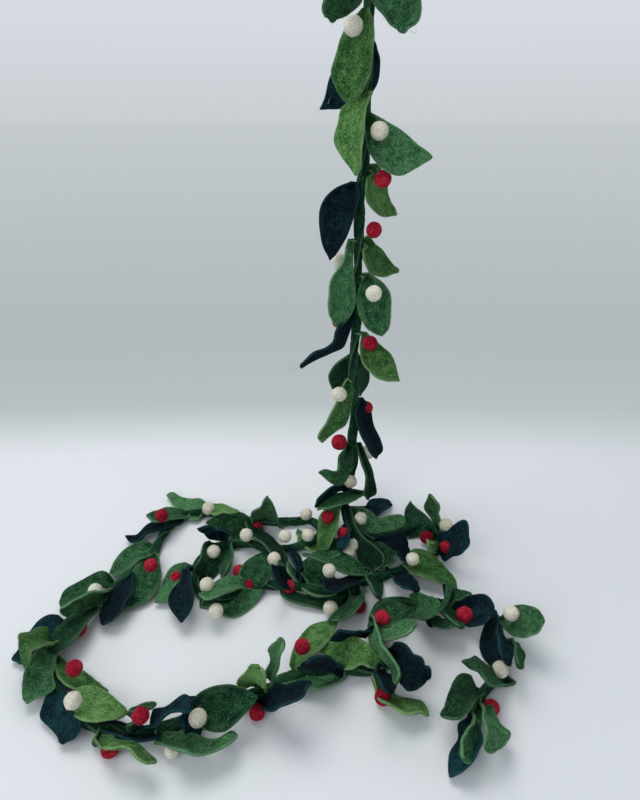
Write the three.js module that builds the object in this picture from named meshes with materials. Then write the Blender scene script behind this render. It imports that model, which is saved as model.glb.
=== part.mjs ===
// A felt leaf garland: one thick felt cord, pointed felt leaves pinched and sewn to it
// at the base, and felt-ball berries sewn beside the leaf bases.
// It hangs from a loop at its top end and the rest of its length lies on a flat surface
// in an inner lobe, a large open loop and a short return branch.
// Millimetres, +Z up. The origin is the top of the inside of the hanging loop.
import * as THREE from "three";
import { mergeVertices } from "three/addons/utils/BufferGeometryUtils.js";

// ---- driving dimensions (mm) ----
const CORD_RADIUS = 3.8; // rolled felt cord
const CORD_SIDES = 8;
const CORD_STEPS = 80;
const FELT = 2.2; // thickness of a leaf
const STITCH_GAP = 0.4; // leaf base to cord surface
const LEAF_NECK = 1.8; // narrowest width of a leaf, at its base and its tip
const LEAF_STATIONS = 6; // facets along a leaf
const LEAF_STRIPS = 4; // facets across a leaf
const BASE_POWER = 0.6; // roundness of the outline towards the base
const TIP_POWER = 0.78; // and towards the tip
const PINCH = 1.6; // how much deeper the fold is at the base
const BERRY = 12.4; // felt ball diameter
const LOOP_BAR = 2.2; // radius of the cord in the hanging loop
const LOOP_INSIDE_WIDTH = 14;
const LOOP_INSIDE_HEIGHT = 22;
const SURFACE = 0; // height of the surface the lower part lies on

// ---- felts ----
const felt = (colour) => new THREE.MeshStandardMaterial({ color: colour, roughness: 0.95, metalness: 0 });
const FELTS = {
  light: felt(0x4a7a30),
  mid: felt(0x2d643a),
  dark: felt(0x1e462d),
  navy: felt(0x0c262a),
  red: felt(0xaa192d),
  cream: felt(0xe1d7c3),
  cord: felt(0x24512f),
};

// ---- the cord's route, one row for each bend, measured from the surface it lies on ----
const ROUTE = [
  { x: 33.5, y: 0, z: 442.6 },
  { x: 33.2, y: 0, z: 414.8 },
  { x: 33.2, y: 0, z: 384.1 },
  { x: 33.2, y: 0, z: 351.4 },
  { x: 33.3, y: 0, z: 326 },
  { x: 31.1, y: 0, z: 297.3 },
  { x: 30.3, y: 0, z: 270.7 },
  { x: 30.5, y: 0, z: 237.2 },
  { x: 30.2, y: 0, z: 186 },
  { x: 28.3, y: 0, z: 158.1 },
  { x: 31.2, y: 0, z: 111.4 },
  { x: 29.2, y: 0, z: 82 },
  { x: 31.5, y: 0, z: 58.7 },
  { x: 25.5, y: -2, z: 29.2 },
  { x: 23.2, y: -20.5, z: 14 },
  { x: 34.4, y: -39.8, z: 6 },
  { x: 61.5, y: -40.2, z: 5.2 },
  { x: 92.4, y: -26.9, z: 5.2 },
  { x: 108.7, y: -34.4, z: 5.2 },
  { x: 102.6, y: -58.3, z: 5.2 },
  { x: 77.8, y: -79.2, z: 5.2 },
  { x: 45.2, y: -95.1, z: 5.2 },
  { x: 8, y: -107.9, z: 5.2 },
  { x: -24.2, y: -104.5, z: 5.2 },
  { x: -52.5, y: -104.5, z: 5.2 },
  { x: -77.1, y: -117.9, z: 5.2 },
  { x: -97.1, y: -107.9, z: 5.2 },
  { x: -103.5, y: -81.7, z: 5.2 },
  { x: -92.1, y: -58.3, z: 5.2 },
  { x: -66.7, y: -50.1, z: 5.2 },
  { x: -39.5, y: -58.3, z: 5.2 },
  { x: -15, y: -52.9, z: 5.2 },
  { x: 0.9, y: -38.3, z: 6 },
  { x: -7.5, y: -18.9, z: 6 },
  { x: -32.8, y: -19.3, z: 5.2 },
  { x: -65.8, y: -16.2, z: 5.2 },
  { x: -100.5, y: -5.1, z: 5.2 },
  { x: -130.5, y: -8.3, z: 5.2 },
  { x: -141.3, y: -31.4, z: 5.2 },
  { x: -145.6, y: -65, z: 5.2 },
  { x: -159, y: -96.3, z: 5.2 },
  { x: -174, y: -120.1, z: 5.2 },
  { x: -187.7, y: -141.8, z: 5.2 },
  { x: -190.6, y: -162.7, z: 5.2 },
  { x: -184.6, y: -182.8, z: 5.2 },
  { x: -172.9, y: -202, z: 5.2 },
  { x: -155.2, y: -219.7, z: 5.2 },
  { x: -136.1, y: -229.3, z: 5.2 },
  { x: -116.6, y: -232.7, z: 5.2 },
  { x: -97.6, y: -230, z: 5.2 },
  { x: -78.3, y: -221.1, z: 5.2 },
  { x: -58.1, y: -211.8, z: 5.2 },
  { x: -38.1, y: -203.5, z: 5.2 },
  { x: -13.6, y: -189.4, z: 5.2 },
  { x: 12.4, y: -184.5, z: 5.2 },
  { x: 34.1, y: -186.9, z: 5.2 },
  { x: 45.9, y: -178.4, z: 6 },
  { x: 44.2, y: -158.9, z: 6 },
  { x: 40.5, y: -141.6, z: 6 },
  { x: 52.2, y: -130.4, z: 6 },
  { x: 73.2, y: -128.6, z: 5.2 },
  { x: 97.2, y: -124.3, z: 5.2 },
  { x: 119.2, y: -126.5, z: 5.2 },
  { x: 131.7, y: -137.8, z: 5.2 },
  { x: 130.7, y: -158.1, z: 5.2 },
  { x: 128.7, y: -176, z: 5.2 },
  { x: 118, y: -192.6, z: 5.2 },
  { x: 106.2, y: -205.1, z: 5.2 },
  { x: 97.9, y: -218.3, z: 5.2 },
];

// ---- leaves, in the order they are sewn on ----
// at: mm along the cord; heading and rise: degrees, base to tip; turn: degrees of roll;
// long, wide: mm; sway and bow: mm the midrib bends in and out of the leaf's plane;
// cup: depth of the fold; side: how far round the cord it is sewn, towards its face or its back;
// off: extra mm from the cord; start: share of the base tucked away
const LEAVES = [
  { name: "leaf_h02", felt: "mid", at: 5, heading: -57, rise: -47, turn: -53.1, long: 56.8, wide: 29.1, sway: -7, bow: 3, cup: 0.2, side: 0.6, off: 0.6, start: 0.03 },
  { name: "leaf_h03", felt: "light", at: 30, heading: 149.3, rise: -79.6, turn: 104, long: 60.3, wide: 28, sway: 3.2, bow: 4.8, cup: 0.25, side: 0.6, off: 0.6, start: 0.03 },
  { name: "leaf_h04", felt: "navy", at: 48, heading: 139, rise: -46.2, turn: 153.4, long: 56.5, wide: 28, sway: -10.4, bow: 9.2, cup: 0.2, side: -0.6, off: 1.4, start: 0.03 },
  { name: "leaf_h05", felt: "light", at: 81, heading: -106.6, rise: -60.1, turn: -23.7, long: 57.4, wide: 28, sway: 4.2, bow: 7.4, cup: 0.35, side: 0.6, off: 2.4, start: 0.03 },
  { name: "leaf_h06", felt: "mid", at: 96, heading: -33.3, rise: -25.8, turn: -68.6, long: 56, wide: 28, sway: 5.3, bow: 3.3, cup: 0.25, side: 0.6, off: 0.6, start: 0.03 },
  { name: "leaf_h07", felt: "light", at: 131, heading: 51.9, rise: -40, turn: -83.7, long: 56.6, wide: 28, sway: 2.6, bow: 0.2, cup: 0.3, side: 0.6, off: 0.6, start: 0.03 },
  { name: "leaf_h08", felt: "navy", at: 138, heading: -163.2, rise: -67.3, turn: 69.3, long: 61.2, wide: 28.1, sway: 7.5, bow: 3, cup: 0.25, side: 0.6, off: 0.6, start: 0.03 },
  { name: "leaf_h10", felt: "light", at: 180, heading: 45.5, rise: -38.9, turn: -71.3, long: 56.6, wide: 28, sway: 1.9, bow: 1, cup: 0.3, side: 0.6, off: 0.6, start: 0.03 },
  { name: "leaf_h12", felt: "mid", at: 183, heading: -139, rise: -69.7, turn: 82.4, long: 68.6, wide: 28, sway: 2.7, bow: 1.9, cup: 0.3, side: 0.6, off: 0.6, start: 0.03 },
  { name: "leaf_h13", felt: "mid", at: 209, heading: -64.1, rise: -41.4, turn: -53.4, long: 56.5, wide: 28, sway: -4.2, bow: 1.5, cup: 0.25, side: 0.6, off: 5, start: 0.18 },
  { name: "leaf_h14", felt: "navy", at: 236, heading: -161.3, rise: -43.2, turn: 132.5, long: 66, wide: 28, sway: -3.4, bow: 12, cup: 0.5, side: 0.6, off: 6.5, start: 0.03 },
  { name: "leaf_h16", felt: "light", at: 257, heading: -51.4, rise: -29, turn: -27.8, long: 55.7, wide: 28, sway: 1, bow: 2.7, cup: 0.25, side: 0.6, off: 0.6, start: 0.03 },
  { name: "leaf_h19", felt: "light", at: 308, heading: -128.1, rise: -32.9, turn: 80.5, long: 56.3, wide: 28, sway: 0.1, bow: 2.9, cup: 0.35, side: 0.6, off: 0.6, start: 0.03 },
  { name: "leaf_h24", felt: "mid", at: 365, heading: -24.5, rise: -77.7, turn: 0.7, long: 59.2, wide: 28, sway: -4.4, bow: 11.2, cup: 0.6, side: 0.6, off: 0.6, start: 0.03 },
  { name: "leaf_p08", felt: "mid", at: 439, heading: 3.1, rise: -12.1, turn: -55.7, long: 52.3, wide: 26.6, sway: 7.3, bow: 3, cup: 0.2, side: 0.6, off: 1.4, start: 0.03 },
  { name: "leaf_r02", felt: "mid", at: 541, heading: 115.5, rise: -5.4, turn: 9.1, long: 48.9, wide: 25.5, sway: -5.1, bow: -0.5, cup: 0.3, side: 0.6, off: 2.4, start: 0.03 },
  { name: "leaf_r05", felt: "navy", at: 572, heading: -37.2, rise: 59.1, turn: -109.8, long: 45.1, wide: 25.5, sway: 5.5, bow: 5.4, cup: 0.25, side: 0.6, off: 0.6, start: 0.03 },
  { name: "leaf_r01", felt: "light", at: 608, heading: -39.2, rise: 8.1, turn: -19.6, long: 41.8, wide: 25.5, sway: -5.6, bow: 6.1, cup: 0.25, side: 0.6, off: 0.6, start: 0.03 },
  { name: "leaf_p20", felt: "light", at: 651, heading: -123.2, rise: -4.6, turn: -16.2, long: 48.4, wide: 25.5, sway: -1.1, bow: 2, cup: 0.3, side: 0.6, off: 6.5, start: 0.03 },
  { name: "leaf_l13", felt: "mid", at: 772, heading: -14.3, rise: 18.8, turn: -3.3, long: 44.1, wide: 25.5, sway: 8, bow: -5.9, cup: 0.3, side: 0.6, off: 0.6, start: 0.03 },
  { name: "leaf_l17", felt: "navy", at: 813, heading: -86.2, rise: -4.8, turn: -25.1, long: 56.8, wide: 25.5, sway: 3.7, bow: 5.8, cup: 0.25, side: 0.6, off: 0.6, start: 0.03 },
  { name: "leaf_l16", felt: "light", at: 819, heading: -117.7, rise: -4.7, turn: -12.6, long: 48, wide: 25.5, sway: -0.7, bow: 2.2, cup: 0.3, side: 0.6, off: 5, start: 0.03 },
  { name: "leaf_l07", felt: "mid", at: 1006, heading: -95.8, rise: 64.2, turn: -170.3, long: 45.6, wide: 25.5, sway: -1.9, bow: 4.1, cup: 0.3, side: 0.6, off: 0.6, start: 0.03 },
  { name: "leaf_l05", felt: "mid", at: 1023, heading: 173.2, rise: -3.3, turn: 53.5, long: 46.3, wide: 25.7, sway: -6.8, bow: 3, cup: 0.25, side: 0.6, off: 0.6, start: 0.03 },
  { name: "leaf_l01", felt: "mid", at: 1067, heading: 176, rise: 22.7, turn: 5.7, long: 44.4, wide: 25.5, sway: -4, bow: -1.2, cup: 0.35, side: 0.6, off: 1.4, start: 0.03 },
  { name: "leaf_b01", felt: "mid", at: 1147, heading: -129.9, rise: -5.3, turn: 17.6, long: 42.4, wide: 25.5, sway: 0.5, bow: 3.3, cup: 0.25, side: 0.6, off: 3.6, start: 0.03 },
  { name: "leaf_b03", felt: "mid", at: 1158, heading: -93, rise: -4.9, turn: -13.5, long: 59.6, wide: 25.5, sway: -6.1, bow: -1.7, cup: 0.3, side: 0.6, off: 6.5, start: 0.03 },
  { name: "leaf_b04", felt: "navy", at: 1184, heading: -97.6, rise: -5.3, turn: -23.3, long: 54.1, wide: 25.5, sway: -1.3, bow: 1.3, cup: 0.3, side: 0.6, off: 5, start: 0.03 },
  { name: "leaf_b10", felt: "mid", at: 1270, heading: -88.5, rise: -6, turn: -8.1, long: 43.2, wide: 25.5, sway: -1.4, bow: 2.1, cup: 0.2, side: 0.6, off: 1.4, start: 0.03 },
  { name: "leaf_b12", felt: "navy", at: 1306, heading: -57.5, rise: -4.2, turn: -42.7, long: 44, wide: 25.5, sway: -0.1, bow: 2.9, cup: 0.25, side: 0.6, off: 0.6, start: 0.03 },
  { name: "leaf_b11b", felt: "light", at: 1321, heading: -19.2, rise: 2.2, turn: 16.7, long: 44.1, wide: 25.5, sway: 0.8, bow: 2.1, cup: 0.25, side: 0.6, off: 1.4, start: 0.03 },
  { name: "leaf_b15", felt: "dark", at: 1415, heading: 5.9, rise: 23.3, turn: -68, long: 43.4, wide: 25.5, sway: 0.7, bow: 3.3, cup: 0.25, side: 0.6, off: 0.6, start: 0.03 },
  { name: "leaf_r15", felt: "light", at: 1463, heading: -25.6, rise: 76.9, turn: -35.8, long: 45.1, wide: 25.5, sway: -0.3, bow: 4, cup: 0.5, side: 0.6, off: 0.6, start: 0.03 },
  { name: "leaf_r12", felt: "light", at: 1485, heading: 53.2, rise: -3.5, turn: 17.3, long: 52.7, wide: 25.5, sway: -2.8, bow: 6, cup: 0.25, side: 0.6, off: 0.6, start: 0.03 },
  { name: "leaf_r17", felt: "light", at: 1538, heading: -39.6, rise: -3.7, turn: 33, long: 42.3, wide: 25.5, sway: 1.9, bow: -1.8, cup: 0.4, side: 0.6, off: 0.6, start: 0.03 },
  { name: "leaf_r11", felt: "light", at: 1549, heading: 164.5, rise: -4.5, turn: 4.6, long: 43, wide: 25.5, sway: -1.1, bow: 2.2, cup: 0.25, side: 0.6, off: 3.6, start: 0.03 },
  { name: "leaf_r16a", felt: "navy", at: 1560, heading: -55.5, rise: 19, turn: 8.8, long: 43.5, wide: 25.5, sway: 0.7, bow: 2.2, cup: 0.3, side: 0.6, off: 0.6, start: 0.03 },
  { name: "leaf_r07", felt: "mid", at: 1592, heading: -28, rise: 48.5, turn: -108.5, long: 41.1, wide: 25.5, sway: 0.3, bow: 3.3, cup: 0.25, side: 0.6, off: 2.4, start: 0.03 },
  { name: "leaf_s04", felt: "navy", at: 1688, heading: -96.2, rise: -1.5, turn: -68.6, long: 42.9, wide: 25.5, sway: 0.8, bow: 4.2, cup: 0.3, side: 0.6, off: 5, start: 0.03 },
  { name: "leaf_s03", felt: "mid", at: 1697, heading: -52.5, rise: 36.2, turn: -27.6, long: 42.6, wide: 25.5, sway: 1.2, bow: 2.2, cup: 0.2, side: 0.6, off: 0.6, start: 0.03 },
  { name: "leaf_s06", felt: "light", at: 1739, heading: -145.9, rise: 34, turn: -7.8, long: 42.8, wide: 25.5, sway: -3.4, bow: -3.4, cup: 0.4, side: 0.6, off: 0.6, start: 0.03 },
  { name: "leaf_s07", felt: "mid", at: 1759, heading: -137.8, rise: 4.9, turn: -23.5, long: 45.3, wide: 25.5, sway: 3.3, bow: 6.5, cup: 0.25, side: 0.6, off: 0.6, start: 0.03 },
  { name: "leaf_s09", felt: "light", at: 1771, heading: -100.3, rise: 10.2, turn: 42.9, long: 43.8, wide: 25.5, sway: -2.8, bow: 6.9, cup: 0.4, side: 0.6, off: 0.6, start: 0.03 },
  { name: "leaf_s11", felt: "navy", at: 1782, heading: -114.8, rise: -3.9, turn: -55.2, long: 47.5, wide: 25.5, sway: -1.7, bow: 0.1, cup: 0.25, side: 0.6, off: 0.6, start: 0.03 },
];

// ---- berries: mm along the cord, and the ball's centre from the cord's centre line ----
const BERRIES = [
  { name: "berry_hc2", felt: "cream", at: 104, dx: 8, dy: -23.1, dz: 0.7 },
  { name: "berry_hr4", felt: "red", at: 175, dx: 11.2, dy: -7.1, dz: 1.9 },
  { name: "berry_hc6", felt: "cream", at: 222, dx: 9.9, dy: -36.8, dz: 7 },
  { name: "berry_hr8", felt: "red", at: 266, dx: 10.4, dy: -25.2, dz: 7.5 },
  { name: "berry_hc9", felt: "cream", at: 316, dx: -14.7, dy: -31.5, dz: 15.2 },
  { name: "berry_rc16", felt: "cream", at: 599, dx: -4.3, dy: -12.6, dz: 15.6 },
  { name: "berry_lc11", felt: "cream", at: 771, dx: 3.8, dy: -24.9, dz: 10.5 },
  { name: "berry_br9", felt: "red", at: 1164, dx: 12.8, dy: -27.1, dz: 17.7 },
  { name: "berry_br11", felt: "red", at: 1291, dx: 21.8, dy: -11.2, dz: 16.5 },
  { name: "berry_bc19", felt: "cream", at: 1323, dx: 12.4, dy: -12.9, dz: 20.1 },
  { name: "berry_bc20", felt: "cream", at: 1415, dx: 4.9, dy: -12.2, dz: 14.3 },
  { name: "berry_rr15", felt: "red", at: 1494, dx: -4.5, dy: 2.1, dz: 20.9 },
  { name: "berry_sr21", felt: "red", at: 1668, dx: -7.2, dy: -20, dz: 9.2 },
  { name: "berry_sc24", felt: "cream", at: 1693, dx: 3.1, dy: -18.5, dz: 24.3 },
];

// ---- the cord's centre line, top to far end ----
const points = ROUTE.map((p) => new THREE.Vector3(p.x, p.y, p.z));
const centreLine = new THREE.CatmullRomCurve3(points, false, "centripetal");
centreLine.arcLengthDivisions = 2400;
const cordLength = centreLine.getLength();

function cordAt(mm) {
  const t = Math.min(Math.max(mm / cordLength, 0), 1);
  return { point: centreLine.getPointAt(t), along: centreLine.getTangentAt(t).normalize() };
}

// Anything that would pass through the surface is pressed flat on it.
function pressFlat(geometry) {
  const position = geometry.getAttribute("position");
  for (let i = 0; i < position.count; i++) position.setZ(i, Math.max(position.getZ(i), SURFACE));
  return geometry;
}

function closed(geometry) {
  geometry.deleteAttribute("normal");
  geometry.deleteAttribute("uv");
  const merged = mergeVertices(geometry, 1e-4);
  merged.computeVertexNormals();
  return merged;
}

function cordSection(radius, sides) {
  const shape = new THREE.Shape();
  for (let i = 0; i < sides; i++) {
    const a = ((i + 0.5) / sides) * 2 * Math.PI;
    const x = radius * Math.cos(a);
    const y = radius * Math.sin(a);
    if (i) shape.lineTo(x, y);
    else shape.moveTo(x, y);
  }
  shape.closePath();
  return shape;
}

function makeCord() {
  const tube = new THREE.ExtrudeGeometry(cordSection(CORD_RADIUS, CORD_SIDES), {
    steps: CORD_STEPS,
    extrudePath: centreLine,
    bevelEnabled: false,
  });
  return closed(pressFlat(tube));
}

// The top of the cord is doubled back into an upright loop: a racetrack bar standing on the cord's cut end.
function makeLoop() {
  const r = LOOP_BAR;
  const halfWide = LOOP_INSIDE_WIDTH / 2 + r;
  const straight = (LOOP_INSIDE_HEIGHT - LOOP_INSIDE_WIDTH) / 2;
  const ring = [];
  const turns = 8;
  for (let i = 0; i <= turns; i++) {
    const a = (i / turns) * Math.PI;
    ring.push(new THREE.Vector3(halfWide * Math.cos(a), 0, straight + halfWide * Math.sin(a)));
  }
  for (let i = 0; i <= turns; i++) {
    const a = Math.PI + (i / turns) * Math.PI;
    ring.push(new THREE.Vector3(halfWide * Math.cos(a), 0, -straight + halfWide * Math.sin(a)));
  }
  const sides = 8;
  const count = ring.length;
  const position = [];
  const index = [];
  ring.forEach((p, i) => {
    const before = ring[(i + count - 1) % count];
    const after = ring[(i + 1) % count];
    const along = after.clone().sub(before).normalize();
    const across = new THREE.Vector3(0, 1, 0);
    const out = new THREE.Vector3().crossVectors(across, along);
    for (let k = 0; k < sides; k++) {
      const a = ((k + 0.5) / sides) * 2 * Math.PI;
      const v = p.clone().addScaledVector(out, r * Math.cos(a)).addScaledVector(across, r * Math.sin(a));
      position.push(v.x, v.y, v.z);
    }
  });
  for (let i = 0; i < count; i++)
    for (let k = 0; k < sides; k++) {
      const a = i * sides + k;
      const b = i * sides + ((k + 1) % sides);
      const c = ((i + 1) % count) * sides + k;
      const d = ((i + 1) % count) * sides + ((k + 1) % sides);
      index.push(a, b, c, b, d, c);
    }
  const geometry = new THREE.BufferGeometry();
  geometry.setAttribute("position", new THREE.Float32BufferAttribute(position, 3));
  geometry.setIndex(index);
  geometry.computeVertexNormals();
  return geometry;
}

// Half the width of a leaf of full width `wide`, a share u of the way from base to tip.
const widest = BASE_POWER / (BASE_POWER + TIP_POWER);
const outlineAt = (u) => Math.pow(u, BASE_POWER) * Math.pow(1 - u, TIP_POWER);
const halfWidth = (wide, u) =>
  Math.max((wide / 2) * (outlineAt(Math.min(Math.max(u, 0), 1)) / outlineAt(widest)), LEAF_NECK / 2);

// heading and rise aim the leaf from base to tip, turn rolls it about that line.
function leafAxes({ heading, rise, turn }) {
  const [h, r, t] = [heading, rise, turn].map(THREE.MathUtils.degToRad);
  const along = new THREE.Vector3(Math.cos(r) * Math.cos(h), Math.cos(r) * Math.sin(h), Math.sin(r));
  const level = new THREE.Vector3().crossVectors(along, new THREE.Vector3(0, 0, 1)).normalize();
  const up = new THREE.Vector3().crossVectors(level, along);
  const across = level.clone().multiplyScalar(Math.cos(t)).addScaledVector(up, Math.sin(t));
  const face = new THREE.Vector3().crossVectors(across, along);
  return { along, across, face };
}

// A flat felt blank bent to the leaf's midrib curve, folded along it and pinched at the base.
function makeLeaf(leaf) {
  const { along, across, face } = leafAxes(leaf);
  const { point, along: cordAlong } = cordAt(leaf.at);
  const lean = along.clone().addScaledVector(face, leaf.side);
  const outwards = lean.addScaledVector(cordAlong, -lean.dot(cordAlong)).normalize();
  const base = point.clone().addScaledVector(outwards, CORD_RADIUS + STITCH_GAP + leaf.off);
  const start = leaf.start;
  const surface = (u, v) => {
    const arch = 4 * u * (1 - u);
    const fold = Math.min(1.1, leaf.cup * (1 + PINCH * Math.pow(1 - u, 3)));
    const half = halfWidth(leaf.wide, u);
    return base
      .clone()
      .addScaledVector(along, leaf.long * u)
      .addScaledVector(face, leaf.bow * arch + half * Math.pow(Math.abs(v), 1.4) * Math.sin(fold * 0.6))
      .addScaledVector(across, leaf.sway * arch + half * v * Math.cos(fold * 0.6));
  };
  const blank = new THREE.BoxGeometry(1, 2, 1, LEAF_STATIONS, LEAF_STRIPS, 1);
  const position = blank.getAttribute("position");
  const e = 0.01;
  for (let i = 0; i < position.count; i++) {
    const u = start + (1 - start) * (position.getX(i) + 0.5);
    const v = position.getY(i);
    const side = position.getZ(i) > 0 ? 1 : -1;
    const du = surface(Math.min(u + e, 1), v).sub(surface(Math.max(u - e, 0), v));
    const dv = surface(u, v + e).sub(surface(u, v - e));
    const normal = new THREE.Vector3().crossVectors(du, dv).normalize();
    const p = surface(u, v).addScaledVector(normal, side * FELT * 0.5);
    // what would go through the surface lies flat on it, one thickness of felt
    const upper = side * Math.sign(normal.z) > 0;
    const lowest = SURFACE + (upper ? FELT * 0.8 : 0);
    position.setXYZ(i, p.x, p.y, Math.max(p.z, lowest));
  }
  return closed(blank);
}

function makeBerry(berry) {
  const { point } = cordAt(berry.at);
  const ball = new THREE.IcosahedronGeometry(BERRY / 2, 1);
  ball.translate(point.x + berry.dx, point.y + berry.dy, point.z + berry.dz);
  return closed(pressFlat(ball));
}

const garland = new THREE.Group();
const lying = new THREE.Group(); // heights measured from the surface it lies on
garland.add(lying);

function place(name, geometry, material, group = lying) {
  const mesh = new THREE.Mesh(geometry, material);
  mesh.name = name;
  group.add(mesh);
  return mesh;
}

place("cord", makeCord(), FELTS.cord);
for (const leaf of LEAVES) place(leaf.name, makeLeaf(leaf), FELTS[leaf.felt]);
for (const berry of BERRIES) place(berry.name, makeBerry(berry), FELTS[berry.felt]);

const top = centreLine.getPointAt(0);
const loopCentre = top.z + STITCH_GAP + 2 * LOOP_BAR + LOOP_INSIDE_HEIGHT / 2;
const loop = place("hang_loop", makeLoop(), FELTS.cord);
loop.position.set(top.x, top.y, loopCentre);

// Origin at the top of the inside of the hanging loop.
lying.position.set(-top.x, -top.y, -(loopCentre + LOOP_INSIDE_HEIGHT / 2));

export default garland;
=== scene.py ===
import bpy
import math
import numpy as np
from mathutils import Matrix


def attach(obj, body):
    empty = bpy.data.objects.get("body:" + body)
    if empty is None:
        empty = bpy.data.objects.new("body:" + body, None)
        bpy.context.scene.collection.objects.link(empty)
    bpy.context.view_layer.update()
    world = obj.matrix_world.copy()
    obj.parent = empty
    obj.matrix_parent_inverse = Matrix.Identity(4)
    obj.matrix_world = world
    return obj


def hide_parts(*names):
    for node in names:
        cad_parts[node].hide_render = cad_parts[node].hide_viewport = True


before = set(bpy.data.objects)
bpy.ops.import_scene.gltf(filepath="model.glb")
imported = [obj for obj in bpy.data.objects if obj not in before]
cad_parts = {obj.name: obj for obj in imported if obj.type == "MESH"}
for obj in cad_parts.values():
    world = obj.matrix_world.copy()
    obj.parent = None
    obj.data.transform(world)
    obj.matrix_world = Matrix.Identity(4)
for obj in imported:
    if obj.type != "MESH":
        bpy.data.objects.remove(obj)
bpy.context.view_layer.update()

MM = 0.001
SHIFT = np.array([-33.5, 0.0, -469.4])  # from the lying part's frame to the solid model's, mm
CORD_RADIUS = 3.8
FELT = 2.2
BERRY = 12.4
FLOOR_Z = SHIFT[2] * MM


def metres(p):
    return (np.asarray(p, float) + SHIFT) * MM


# the cord's bends, mm from the surface it lies on
ROUTE = [
    (33.5, 0, 442.6), (33.2, 0, 414.8), (33.2, 0, 384.1), (33.2, 0, 351.4),
    (33.3, 0, 326), (31.1, 0, 297.3), (30.3, 0, 270.7), (30.5, 0, 237.2),
    (30.2, 0, 186), (28.3, 0, 158.1), (31.2, 0, 111.4), (29.2, 0, 82),
    (31.5, 0, 58.7), (25.5, -2, 29.2), (23.2, -20.5, 14), (34.4, -39.8, 6),
    (61.5, -40.2, 5.2), (92.4, -26.9, 5.2), (108.7, -34.4, 5.2), (102.6, -58.3, 5.2),
    (77.8, -79.2, 5.2), (45.2, -95.1, 5.2), (8, -107.9, 5.2), (-24.2, -104.5, 5.2),
    (-52.5, -104.5, 5.2), (-77.1, -117.9, 5.2), (-97.1, -107.9, 5.2), (-103.5, -81.7, 5.2),
    (-92.1, -58.3, 5.2), (-66.7, -50.1, 5.2), (-39.5, -58.3, 5.2), (-15, -52.9, 5.2),
    (0.9, -38.3, 6), (-7.5, -18.9, 6), (-32.8, -19.3, 5.2), (-65.8, -16.2, 5.2),
    (-100.5, -5.1, 5.2), (-130.5, -8.3, 5.2), (-141.3, -31.4, 5.2), (-145.6, -65, 5.2),
    (-159, -96.3, 5.2), (-174, -120.1, 5.2), (-187.7, -141.8, 5.2), (-190.6, -162.7, 5.2),
    (-184.6, -182.8, 5.2), (-172.9, -202, 5.2), (-155.2, -219.7, 5.2), (-136.1, -229.3, 5.2),
    (-116.6, -232.7, 5.2), (-97.6, -230, 5.2), (-78.3, -221.1, 5.2), (-58.1, -211.8, 5.2),
    (-38.1, -203.5, 5.2), (-13.6, -189.4, 5.2), (12.4, -184.5, 5.2), (34.1, -186.9, 5.2),
    (45.9, -178.4, 6), (44.2, -158.9, 6), (40.5, -141.6, 6), (52.2, -130.4, 6),
    (73.2, -128.6, 5.2), (97.2, -124.3, 5.2), (119.2, -126.5, 5.2), (131.7, -137.8, 5.2),
    (130.7, -158.1, 5.2), (128.7, -176, 5.2), (118, -192.6, 5.2), (106.2, -205.1, 5.2),
    (97.9, -218.3, 5.2),
]

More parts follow.
